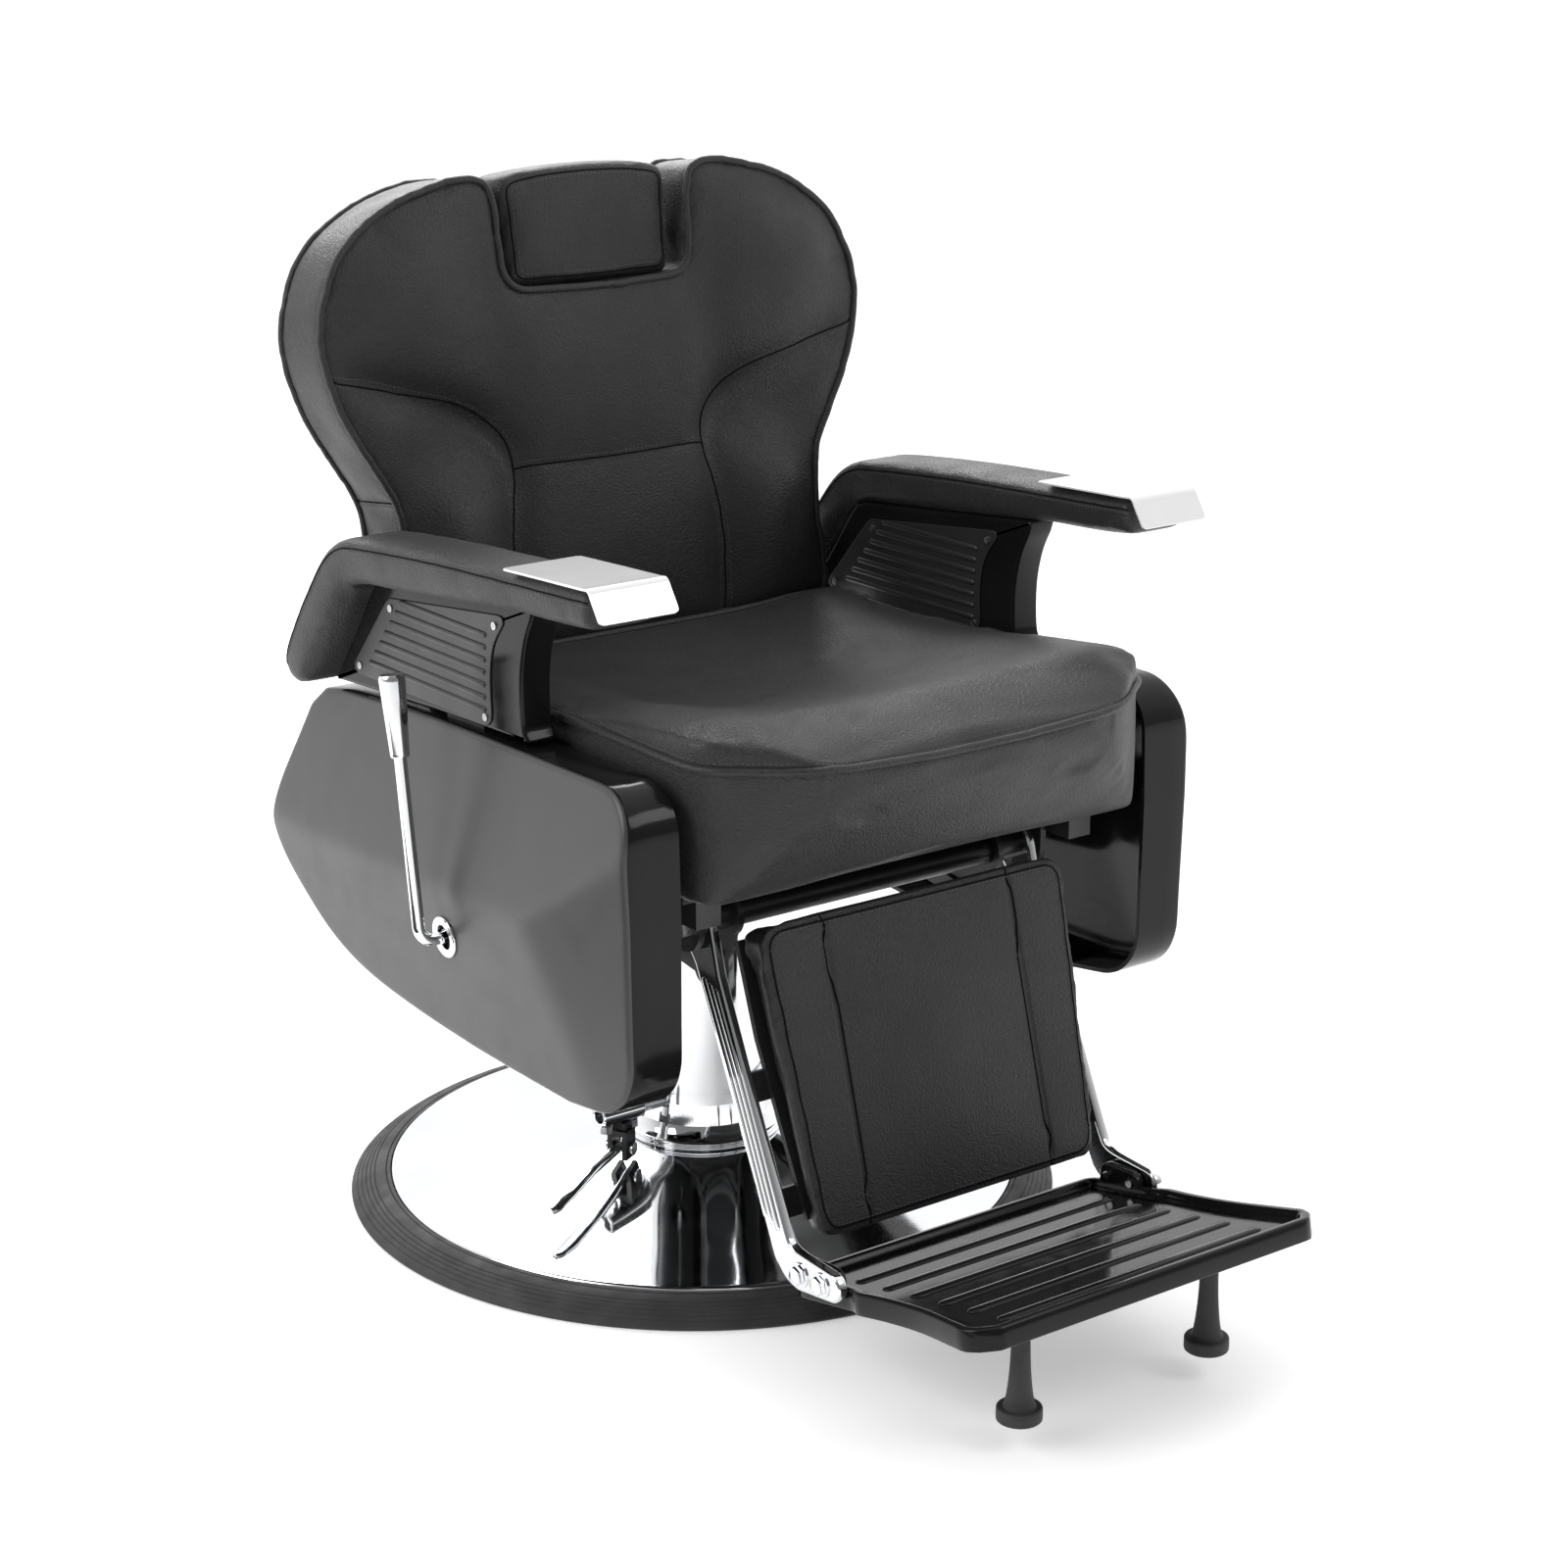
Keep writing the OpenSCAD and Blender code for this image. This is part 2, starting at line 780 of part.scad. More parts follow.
// Right half of the back's outline in its own (x, z), drawn in by w
function back_edge(w = 0) = let (h = half - 240 - w) concat(
    [[224 + h, 516 + w]],
    curve([[233 + h, 523 + w], [236 + h, 552], [231 + h, 600], [236 + h, 664], [257 + h, 705], [281 + h, 750],
        [296 + h, 805], [291 + h, 850], [266 + h, 897 - w / 2], [216 + h, 932 - w], [165 + h, 948 - w],
        [headrest_w / 2 + 38, 952 - w], [headrest_w / 2 + 18 + w, 947 - w]]),
    [[headrest_w / 2 + 3 + w, 950 - headrest_h - w]]);

module back_cushion() {
    color([0.1, 0.1, 0.1])
        on_back()
            difference() {
                slab(0, 50) polygon(both_halves(back_edge()));
                for (s = [-1, 1])
                    translate([60 * s, 38, 640]) cylinder(h = 300, r = post_d / 2 + 3.2);
            }
}

module back_board() {
    color("burlywood")
        on_back()
            slab(58, 8) polygon(both_halves(back_edge(8)));
}

module back_rear_pad() {
    color([0.1, 0.1, 0.1])
        on_back()
            slab(66, back_t - 66) polygon(both_halves(back_edge(2)));
}

// Uprights and crossbars of the back frame, as one flat outline
module ladder() {
    pair() translate([back_arm_in - 22, 508]) square([ladder_w - 2, 340]);
    for (z = [560, 800])
        translate([-back_arm_in, z]) square([2 * back_arm_in, ladder_w]);
}

module back_frame() {
    p = back_pivot;
    f = frame_z;
    color("dimgray")
        difference() {
            union() {
                pair() {
                    across(back_arm_in, back_arm_t) {
                        translate(p) circle(19);
                        polygon([[p[0] - 17, p[1]], [p[0] + 17, p[1]], [p[0] + 25, f + 130], [p[0] + 12, f + 130]]);
                    }
                }
                bar_x(-back_arm_in - 1, 2 * back_arm_in + 2, p, tube_r);
                on_back() translate([0, 57.8, 0]) rotate([90, 0, 0]) linear_extrude(7.6) ladder();
            }
            bar_x(-back_arm_in - 20, 30, p, 10 + run);
            bar_x(back_arm_in - 10, 30, p, 10 + run);
        }
}

module back_cranks() {
    p = back_pivot;
    color("dimgray")
        difference() {
            union() {
                pair() {
                    across(crank_in, crank_t) crank_shape(p, rod_rear, 12);
                    bar_x(crank_in, 2 * crank_t + 2, rod_rear, link_pin_d / 2);
                }
                for (x = [lock_x - 11, lock_x + 5])
                    across(x, 6) crank_shape(p, lock_pin, 9);
                bar_x(lock_x - 11, 22, lock_pin, 5);
            }
            bar_x(-half, seat_w, p, tube_r + 0.02);
        }
}

// Flat crank from the pivot a to the pin b, with the end radius r
module crank_shape(a, b, r) {
    d = (b - a) / norm(b - a);
    n = [-d[1], d[0]];
    translate(a) circle(19);
    translate(b) circle(r);
    polygon([a + 17 * n, a - 17 * n, b - (r - 1) * n, b + (r - 1) * n]);
}

module headrest_guides() {
    color([0.1, 0.1, 0.1])
        on_back()
            for (s = [-1, 1])
                translate([60 * s, 38, 650])
                    difference() {
                        cylinder(h = 193 + 104 - headrest_h, r = post_d / 2 + 3);
                        translate([0, 0, -1]) cylinder(h = 330, r = post_d / 2 + run);
                    }
}

module headrest_posts() {
    color("silver")
        on_back()
            for (s = [-1, 1])
                translate([60 * s, 38, 660])
                    cylinder(h = 950 - headrest_h - 660 + 2, r = post_d / 2);
}

module headrest_cushion() {
    w = headrest_w / 2;
    z = 950 - headrest_h + 2;
    color([0.1, 0.1, 0.1])
        on_back()
            slab(0, back_t - 4)
                polygon([[-w + 6, z], [w - 6, z], [w, z + 6], [w + 6, z + headrest_h - 14],
                    [w - 2, z + headrest_h - 3], [-w + 2, z + headrest_h - 3], [-w - 6, z + headrest_h - 14],
                    [-w, z + 6]]);
}

// ---------- linkage and footrest ----------

module connecting_rods() {
    color("gray")
        pair()
            difference() {
                across(rod_in, crank_t) {
                    translate(rod_rear) circle(13);
                    translate(rod_front) circle(15);
                    crank_bar(rod_front, rod_rear, 8);
                }
                bar_x(rod_in - 5, 20, rod_rear, link_pin_d / 2 + run);
                bar_x(rod_in - 5, 20, rod_front, link_pin_d / 2 + open_pivot);
            }
}

// Flat bar from a to b with the half width r
module crank_bar(a, b, r) {
    d = (b - a) / norm(b - a);
    n = [-d[1], d[0]];
    polygon([a + r * n, a - r * n, b - r * n, b + r * n]);
}

// Side outline of a footrest bar: head at the pivot, long leg, knee and bracket
function bar_outline() = let (p = foot_pivot) concat(
    arc(p, 24, -20, 170, 10),
    [[p[0] - 36, p[1] - 40]],
    curve([[-345, 190], [-374, 130], [-384, 118], [-404, 115.5]], 4),
    arc([-436, 101], 13, 90, 250, 6),
    curve([[-392, 82], [-376, 86], [-362, 98], [-350, 122]], 4),
    [[-318, 184], [p[0] - 2, p[1] - 36]]);

module footrest_bar() {
    p = foot_pivot;
    difference() {
        union() {
            across(bar_in, bar_t) polygon(bar_outline());
            for (s = [-1, 0, 1])
                across(bar_out, 1.6)
                    crank_bar([p[0] - 25 + 8 * s, p[1] - 50 + 3 * s], [-357 + 8 * s, 132 + 3 * s], 2.2);
        }
        bar_x(bar_in - 1, 20, p, 8 + run);
        for (q = bolt_places())
            bar_x(bar_in - 1, 20, q, 5.2);
    }
}

// Bolts through the bars into the footplate's lugs, as [y, z]
function bolt_places() = [[-396, 98], [-425, 100]];

// Lug that stands on the footplate's rim behind each bar
module plate_lug() {
    for (q = bolt_places())
        translate(q) circle(10.5);
    polygon([[-385.5, 98], [-435.5, 100], [-435.5, 88], [-385.5, 78]]);
}

module footrest_bar_left() {
    color("silver")
        mirror([1, 0, 0]) footrest_bar();
}

module footrest_bar_right() {
    color("silver")
        footrest_bar();
}

module footrest_tube() {
    p = foot_pivot;
    color("dimgray") {
        bar_x(-bar_in, 2 * bar_in, p, 12);
        pair() {
            across(crank_in, crank_t) crank_shape(p, rod_front, 12);
            bar_x(crank_in, 2 * crank_t + 2, rod_front, link_pin_d / 2);
        }
        for (t = [0.46, 0.86])
            across(-bar_in, 2 * bar_in)
                polygon([calf_point(t, 6.2), calf_point(t + 0.1, 6.2), calf_point(t + 0.1, 14), calf_point(t, 14)]);
    }
}

// Front face of the calf pad, as [y, z] at its top and its bottom
calf_top = [-322, foot_pivot[1] + 6];
calf_low = [-391, 130];
calf_deep = 40;
calf_thin = 24;

// Point at the fraction t down the calf rest, the distance b behind the pad's rear face
function calf_point(t, b) = let (d = (calf_low - calf_top) / norm(calf_low - calf_top))
    calf_top + t * (calf_low - calf_top) + (calf_deep + (calf_thin - calf_deep) * t + b) * [-d[1], d[0]];

// The side profile given as a child, cut to the calf rest's tapered front view
module calf_shape(wide, narrow) {
    z = foot_pivot[1];
    intersection() {
        across(-wide, 2 * wide) children();
        slab(-500, 400)
            polygon([[-narrow, calf_low[1] - 20], [narrow, calf_low[1] - 20], [wide, z - 90], [wide, z + 20],
                [-wide, z + 20], [-wide, z - 90]]);
    }
}

module calf_pad() {
    color([0.1, 0.1, 0.1])
        calf_shape(bar_in - 4, bar_in - 18)
            polygon([calf_top, calf_low, calf_point(1, 0), calf_point(0, 0)]);
}

module calf_board() {
    color([0.1, 0.1, 0.1])
        calf_shape(bar_in - 8, bar_in - 22)
            polygon([calf_point(0.02, 0.3), calf_point(0.98, 0.3), calf_point(0.98, 6), calf_point(0.02, 6)]);
}

// Right half of the footplate's outline, drawn in by w; y is forwards along the plate
function tray_edge(w = 0) = let (h = footplate_w / 2 - w) concat(
    [[h - 12, -w], [h - 4, -4 - w], [h - 1, -12], [h - 0.5, -36], [h - 0.5, -85]],
    curve([[h + 5, -98], [h + 3, -135], [h + 5, -180], [h + 13, -228], [h + 17, -250 + w]], 5),
    [[h + 12, -262 + w], [h - 2, -274 + w]]);

module footplate() {
    color([0.07, 0.07, 0.07])
        difference() {
            union() {
                on_footplate() {
                    translate([0, 0, -rim_h])
                        linear_extrude(rim_h)
                            difference() {
                                polygon(both_halves(tray_edge()));
                                polygon(both_halves(tray_edge(9)));
                            }
                    translate([0, 0, -12])
                        linear_extrude(5)
                            polygon(both_halves(tray_edge(8.9)));
                    for (i = [0 : 5])
                        translate([0, -56 - 37 * i, -7])
                            linear_extrude(2.2)
                                slot(-footplate_w / 2 + 40, footplate_w / 2 - 40, 7);
                }
                pair() across(footplate_w / 2 - 8.5, 7.5) plate_lug();
            }
            for (q = bolt_places())
                bar_x(-bar_out - 10, 2 * bar_out + 20, q, 4.2);
        }
}

module footplate_bolts() {
    color("silver")
        pair()
            for (q = bolt_places()) {
                bar_x(bar_in - 12, bar_t + 12, q, 4);
                bar_x(bar_out, 1.5, q, 11);
                translate([bar_out + 1.5, q[0], q[1]])
                    rotate([0, 90, 0])
                        cylinder(h = 6, r = 8.5, $fn = 6);
            }
}

module footplate_feet() {
    y = -587;
    under = plate_z + (plate_y - y) * tan(plate_lean) - 12 / cos(plate_lean);
    color([0.08, 0.08, 0.08])
        for (s = [-1, 1])
            translate([103 * s, y, 23])
                rotate_extrude()
                    polygon(concat([[0, 0], [foot_d / 2 - 1.5, 0], [foot_d / 2, 1.5], [foot_d / 2, 10],
                        [foot_d / 2 - 2, 12], [14, 12]],
                        curve([[12, 15], [10, 30], [8, 60], [7.2, under - 26]], 4), [[0, under - 26]]));
}

base_plate();
base_ring();
base_dish();
base_bolts();
pump_body();
pump_seal();
column_cover();
pump_shaft();
pedal_tube();
pedal_crank();
pedal_bolts();
pedal_pin();
foot_bar();
ram();
thrust_washer();
swivel_head();
swivel_bolts();
seat_rails();
seat_crossbars();
side_spacers();
side_plates();
seat_board();
seat_cushion();
side_panel_left();
side_panel_right();
arm_posts();
arm_shell_left();
arm_shell_right();
arm_inserts();
insert_screws();
arm_pad_left();
arm_pad_right();
arm_cap_left();
arm_cap_right();
footrest_brackets();
footrest_pivots();
back_pivots();
lock_barrel();
back_cranks();
lock_rod();
lever_bush();
lever_ring();
recline_lever();
lever_knob();
back_frame();
back_cushion();
back_board();
back_rear_pad();
headrest_guides();
headrest_posts();
headrest_cushion();
connecting_rods();
footrest_bar_left();
footrest_bar_right();
footrest_tube();
calf_board();
calf_pad();
footplate();
footplate_bolts();
footplate_feet();
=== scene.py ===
"""Visible surfaces of a hydraulic barber chair: upholstery, chrome, moulded covers and their stage.

Shapes are worked out in millimetres in the chair's own frame (+Z up, the chair faces -Y, origin on the
swivel axis at the floor) and turned into metres when a mesh is made.
"""

import json
import math

import bmesh
import bpy
import numpy as np
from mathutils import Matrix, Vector
from mathutils.bvhtree import BVHTree


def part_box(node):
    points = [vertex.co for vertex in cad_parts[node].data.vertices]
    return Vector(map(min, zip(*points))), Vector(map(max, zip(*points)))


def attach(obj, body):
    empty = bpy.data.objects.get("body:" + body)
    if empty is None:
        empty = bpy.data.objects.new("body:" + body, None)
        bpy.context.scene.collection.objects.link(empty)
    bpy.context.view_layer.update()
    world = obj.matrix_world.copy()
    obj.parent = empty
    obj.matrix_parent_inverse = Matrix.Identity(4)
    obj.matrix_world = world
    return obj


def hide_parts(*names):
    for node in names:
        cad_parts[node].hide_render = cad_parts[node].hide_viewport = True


bl_info = {
    "name": "Barber Chair",
    "version": (1, 0, 0),
    "blender": (4, 5, 0),
    "location": "View3D > Sidebar > Chair",
    "description": "Builds the upholstery, chrome and covers of a hydraulic barber chair",
    "category": "Add Mesh",
}

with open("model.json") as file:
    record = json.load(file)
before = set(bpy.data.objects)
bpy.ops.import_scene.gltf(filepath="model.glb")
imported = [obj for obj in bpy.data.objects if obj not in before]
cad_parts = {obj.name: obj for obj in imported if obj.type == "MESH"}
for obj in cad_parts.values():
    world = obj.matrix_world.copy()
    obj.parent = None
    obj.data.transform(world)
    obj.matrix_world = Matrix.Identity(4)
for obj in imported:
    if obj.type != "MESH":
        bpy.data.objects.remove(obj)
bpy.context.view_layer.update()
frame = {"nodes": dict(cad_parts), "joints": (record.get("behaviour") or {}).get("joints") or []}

MM = 0.001
CUSHION_VOXEL = 5.0


# ---------- places taken from the frame ----------

def corners(node):
    """Lowest and highest corner of a CAD node, in millimetres."""
    low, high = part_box(node)
    return np.array(low) / MM, np.array(high) / MM


def joint_place(name):
    """A joint's place, in millimetres."""
    found = next(j for j in frame["joints"] if j["name"] == name)
    return np.array(found["pos_m"], float) / MM


SEAT_LOW, SEAT_HIGH = corners("seat_cushion")
HALF = SEAT_HIGH[0]
FRAME_Z = corners("seat_rails")[0][2]
PANEL_IN = corners("side_panel_right")[0][0]
SHELL_IN, SHELL_OUT = corners("arm_shell_right")[0][0], corners("arm_shell_right")[1][0]
BAR_IN = corners("footrest_bar_right")[0][0]
DISH_R = corners("base_dish")[1][0]
RING_R = corners("base_ring")[1][0]
COLUMN_H = corners("column_cover")[1][2]
RIM_X = PANEL_IN + 54
BACK_LEAN = math.radians(7.5)
BACK_FOOT = 42.2
BACK_T = 78
PLATE_LEAN = math.radians(12.1)
PLATE_FOOT = (-367, 85)
CALF_TOP = np.array([-322, FRAME_Z - 9])
CALF_LOW = np.array([-391, 130])
PANEL_APEX = np.array([-192, FRAME_Z - 1])


# ---------- curves and outlines ----------

def smooth_curve(points, steps=6):
    """Catmull-Rom curve: between b and c, with neighbours a and d, the point at t is
    (2b + (c - a)t + (2a - 5b + 4c - d)t^2 + (3b - a - 3c + d)t^3) / 2."""
    p = np.asarray(points, float)
    p = np.vstack([p[:1], p, p[-1:]])
    t = np.arange(steps)[:, None] / steps
    a, b, c, d = (p[i:len(p) - 3 + i, None] for i in range(4))
    spans = (2 * b + (c - a) * t + (2 * a - 5 * b + 4 * c - d) * t**2 + (3 * b - a - 3 * c + d) * t**3) / 2
    return np.vstack([spans.reshape(-1, p.shape[1]), p[-1:]])


def arc(centre, radius, start, stop, steps=8):
    """Points at even angles, in degrees, round a circle."""
    a = np.radians(np.linspace(start, stop, steps + 1))
    return np.asarray(centre) + radius * np.stack([np.cos(a), np.sin(a)], -1)


def run_length(path):
    """Distance from the path's start to each of its points."""
    return np.concatenate([[0], np.cumsum(np.linalg.norm(np.diff(path, axis=0), axis=1))])


def spaced(path, step, closed=False):
    """The path's points at even distances: each coordinate read off against the length run so far."""
    p = np.asarray(path, float)
    if closed:
        p = np.vstack([p, p[:1]])
    run = run_length(p)
    at = np.linspace(0, run[-1], max(2, int(round(run[-1] / step))) + 1)
    out = np.stack([np.interp(at, run, column) for column in p.T], -1)
    return out[:-1] if closed else out


def mirrored(right_half):
    """A right half of an outline in (x, z), from bottom to top, closed by its mirror image."""
    p = np.asarray(right_half, float)
    return np.vstack([p, p[::-1] * [-1, 1]])


def inset(outline, w):
    """A closed outline drawn in by w: each corner moves by w m / (|m|^2 / 2), m the sum of the two
    unit normals of its edges."""
    ahead = np.roll(outline, -1, 0) - outline
    area = np.sum(outline[:, 0] * ahead[:, 1] - outline[:, 1] * ahead[:, 0])
    n = np.stack([-ahead[:, 1], ahead[:, 0]], -1) * np.sign(area)
    n /= np.maximum(np.linalg.norm(n, axis=1, keepdims=True), 1e-9)
    m = n + np.roll(n, 1, 0)
    return outline + w * m / np.maximum(np.sum(m * m, axis=1, keepdims=True) / 2, 0.5)


def across(points, x):
    """(y, z) points placed at x."""
    return np.column_stack([np.broadcast_to(x, len(points)), points])


def on_back(p):
    """From the back's own frame (x, depth, height up the slope) to the chair's."""
    p = np.asarray(p, float)
    c, s = math.cos(BACK_LEAN), math.sin(BACK_LEAN)
    return np.stack([p[..., 0], BACK_FOOT + c * p[..., 1] + s * p[..., 2], c * p[..., 2] - s * p[..., 1]], -1)


def off_back(p):
    """From the chair's frame to the back's own."""
    c, s = math.cos(BACK_LEAN), math.sin(BACK_LEAN)
    y = p[..., 1] - BACK_FOOT
    return np.stack([p[..., 0], c * y - s * p[..., 2], s * y + c * p[..., 2]], -1)


def on_plate(p):
    """From the footplate's own frame (x, distance forwards, height over its rim) to the chair's."""
    p = np.asarray(p, float)
    c, s = math.cos(PLATE_LEAN), math.sin(PLATE_LEAN)
    y = PLATE_FOOT[0] - c * p[..., 1] + s * p[..., 2]
    z = PLATE_FOOT[1] + s * p[..., 1] + c * p[..., 2]
    return np.stack([p[..., 0], y, z], -1)


CALF_DOWN = (CALF_LOW - CALF_TOP) / np.linalg.norm(CALF_LOW - CALF_TOP)
CALF_BACK = np.array([-CALF_DOWN[1], CALF_DOWN[0]])


def on_calf(p):
    """From the calf pad's own frame (x, depth behind its face, distance down) to the chair's."""
    p = np.asarray(p, float)
    yz = CALF_TOP + p[..., 1:2] * CALF_BACK + p[..., 2:3] * CALF_DOWN
    return np.concatenate([p[..., :1], yz], -1)


# ---------- surfaces ----------

def quads(rows, columns, wrap_rows=False, wrap_columns=False):
    """Faces of a grid of points numbered row by row; a wrap joins the last row or column to the first."""
    i, j = np.meshgrid(np.arange(rows if wrap_rows else rows - 1),
                       np.arange(columns if wrap_columns else columns - 1), indexing="ij")
    i2, j2 = (i + 1) % rows, (j + 1) % columns
    return np.stack([i * columns + j, i * columns + j2, i2 * columns + j2, i2 * columns + j],
                    -1).reshape(-1, 4)


def joined(*parts):
    """Several (points, faces) pairs as one."""
    starts = np.cumsum([0] + [len(p) for p, f in parts])
    points = np.vstack([p for p, f in parts])
    return points, [tuple(np.asarray(face) + s) for (p, f), s in zip(parts, starts) for face in f]


def mirror_x(part):
    """The part on the other side of the chair; its normals are recalculated when it is made a mesh."""
    return part[0] * [-1, 1, 1], part[1]


def moved(part, offset=(0, 0, 0), axis="z"):
    """A part made about Z, turned so that Z points along another axis, then moved."""
    order = {"z": [0, 1, 2], "x": [2, 0, 1], "y": [1, 2, 0]}[axis]
    return part[0][:, order] + np.asarray(offset, float), part[1]


def lathe(profile, turns=96, loop=False):
    """Surface of revolution about Z: the profile's (r, z) at the angle a gives (r cos a, r sin a, z).
    A profile that isn't a loop starts and ends on the axis."""
    r, z = np.asarray(profile, float).T
    a = np.linspace(0, 2 * np.pi, turns, endpoint=False)
    points = np.stack([np.outer(r, np.cos(a)), np.outer(r, np.sin(a)), np.outer(z, np.ones(turns))], -1)
    return points.reshape(-1, 3), list(quads(len(r), turns, loop, True))


def tube(path, radius, up=(0, 0, 1), sides=16, closed=False, wide=1.0, tall=1.0, ends=True):
    """An oval section carried along a path: the point at the angle a is
    path + radius (wide cos(a) side + tall sin(a) over), with side = along x up, over = side x along.
    ends closes an open tube with a half ball at each end."""
    p = np.asarray(path, float)
    radius, wide, tall = (np.broadcast_to(np.asarray(v, float), len(p)) for v in (radius, wide, tall))
    if ends and not closed:
        a = np.radians([90, 60, 30])
        first, last = p[0] - p[1], p[-1] - p[-2]
        first, last = first / np.linalg.norm(first), last / np.linalg.norm(last)
        p = np.vstack([p[0] + radius[0] * np.outer(np.sin(a), first), p,
                       p[-1] + radius[-1] * np.outer(np.sin(a[::-1]), last)])
        radius = np.concatenate([radius[0] * np.cos(a), radius, radius[-1] * np.cos(a[::-1])])
        wide, tall = (np.concatenate([[v[0]] * 3, v, [v[-1]] * 3]) for v in (wide, tall))
    along = np.roll(p, -1, 0) - np.roll(p, 1, 0) if closed else np.gradient(p, axis=0)
    along /= np.maximum(np.linalg.norm(along, axis=1, keepdims=True), 1e-9)
    side = np.cross(along, np.broadcast_to(np.asarray(up, float), p.shape))
    side /= np.maximum(np.linalg.norm(side, axis=1, keepdims=True), 1e-9)
    over = np.cross(side, along)
    a = np.linspace(0, 2 * np.pi, sides, endpoint=False)[None, :, None]
    section = (wide[:, None, None] * np.cos(a) * side[:, None]
               + tall[:, None, None] * np.sin(a) * over[:, None])
    points = p[:, None] + radius[:, None, None] * section
    faces = list(quads(len(p), sides, closed, True))
    if not ends and not closed:
        faces += [tuple(range(sides)), tuple(range((len(p) - 1) * sides, len(p) * sides))]
    return points.reshape(-1, 3), faces


PRISM_AXES = {"x": [2, 0, 1], "y": [0, 2, 1], "z": [0, 1, 2]}


def prism(outline, low, high, edge, axis, steps=4):
    """A closed outline (u, v) carried from low to high along w, with rounded edges: at the angle a from
    an end it is drawn in by edge (1 - cos a) and lies edge (1 - sin a) from that end."""
    a = np.linspace(0, np.pi / 2, steps + 1)[::-1]
    draw = edge * (1 - np.cos(a))
    rise = edge * (1 - np.sin(a))
    support = min(0.6, edge)
    levels = [(draw[0] + support, low)] + [(d, low + r) for d, r in zip(draw, rise)]
    levels += [(d, high - r) for d, r in zip(draw[::-1], rise[::-1])] + [(draw[0] + support, high)]
    rings = [np.column_stack([inset(outline, d), np.full(len(outline), w)]) for d, w in levels]
    points = np.vstack(rings)[:, PRISM_AXES[axis]]
    n = len(outline)
    caps = [tuple(range(n)), tuple(range(len(rings) * n - n, len(rings) * n))]
    return points, list(quads(len(rings), n, False, True)) + caps


def walled(front, back, keep, wrap_columns=False):
    """A thin shell from two grids of points with the same rows and columns: cells where keep is true are
    covered on both sides, and a wall joins the two sides wherever a kept cell meets a missing one."""
    rows, columns = front.shape[:2]
    count = rows * columns
    cells = quads(rows, columns, False, wrap_columns).reshape(rows - 1, -1, 4)
    outer = cells[keep]
    used = np.pad(keep, ((1, 1), (0, 0)))
    used = np.pad(used, ((0, 0), (1, 1)), mode="wrap" if wrap_columns else "constant")
    faces = [outer, outer[:, ::-1] + count]
    for di, dj, a, b in ((-1, 0, 0, 1), (1, 0, 2, 3), (0, -1, 3, 0), (0, 1, 1, 2)):
        lone = keep & ~used[1 + di:rows + di, 1 + dj:1 + dj + keep.shape[1]]
        edge = cells[lone]
        faces.append(np.stack([edge[:, b], edge[:, a], edge[:, a] + count, edge[:, b] + count], -1))
    return np.vstack([front.reshape(-1, 3), back.reshape(-1, 3)]), list(np.vstack(faces))


def made(name, part, material, sharp=32):
    """A mesh object from (points, faces): doubles merged, faces outwards, smooth up to the sharp angle."""
    mesh = bpy.data.meshes.new(name)
    mesh.from_pydata((part[0] * MM).tolist(), [], [tuple(int(i) for i in f) for f in part[1]])
    bm = bmesh.new()
    bm.from_mesh(mesh)
    bmesh.ops.remove_doubles(bm, verts=bm.verts, dist=1e-5)
    bmesh.ops.recalc_face_normals(bm, faces=bm.faces)
    bm.to_mesh(mesh)
    bm.free()
    mesh.shade_smooth()
    mesh.set_sharp_from_angle(angle=math.radians(sharp))
    mesh.materials.append(material)
    obj = bpy.data.objects.new(name, mesh)
    bpy.context.scene.collection.objects.link(obj)
    return obj


def fitted(obj, body, slot, *nodes):
    """The piece rides on a body and stands for CAD nodes, which are hidden; the slot is not used."""
    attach(obj, body)
    if nodes:
        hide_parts(*nodes)
    return obj


def points_of(mesh):
    """A mesh's points, in millimetres."""
    co = np.empty(len(mesh.vertices) * 3, np.float32)
    mesh.vertices.foreach_get("co", co)
    return co.reshape(-1, 3).astype(float) / MM


def normals_of(mesh):
    """A mesh's point normals."""
    n = np.empty(len(mesh.vertices) * 3, np.float32)
    mesh.vertex_normals.foreach_get("vector", n)
    return n.reshape(-1, 3).astype(float)


def set_points(mesh, points):
    """Writes points in millimetres back to a mesh."""
    mesh.vertices.foreach_set("co", (points * MM).astype(np.float32).ravel())
    mesh.update()


def applied(obj):
    """The object's modifiers made part of its mesh."""
    evaluated = obj.evaluated_get(bpy.context.evaluated_depsgraph_get())
    mesh = bpy.data.meshes.new_from_object(evaluated)
    obj.modifiers.clear()
    old = obj.data
    obj.data = mesh
    bpy.data.meshes.remove(old)
    return obj


# ---------- upholstery ----------

def distance_to(points, lines):
    """Distance of each point to the nearest of some open paths: over every segment from a along d,
    the distance to a + d clamp((p - a).d / d.d, 0, 1)."""
    best = np.full(len(points), 1e9)
    for line in lines:
        a, d = line[:-1], np.diff(line, axis=0)
        for s, e in zip(a, d):
            t = np.clip((points - s) @ e / max(e @ e, 1e-9), 0, 1)
            gap = points - s - t[:, None] * e
            best = np.minimum(best, np.sqrt(np.einsum("ij,ij->i", gap, gap)))
    return best


def near_distance(points, lines, reach):
    """distance_to for the points inside the lines' box grown by reach, and far away for the others."""
    ends = np.vstack(lines)
    inside = np.all((points > ends.min(0) - reach) & (points < ends.max(0) + reach), axis=1)
    out = np.full(len(points), 1e3)
    out[inside] = distance_to(points[inside], lines)
    return out


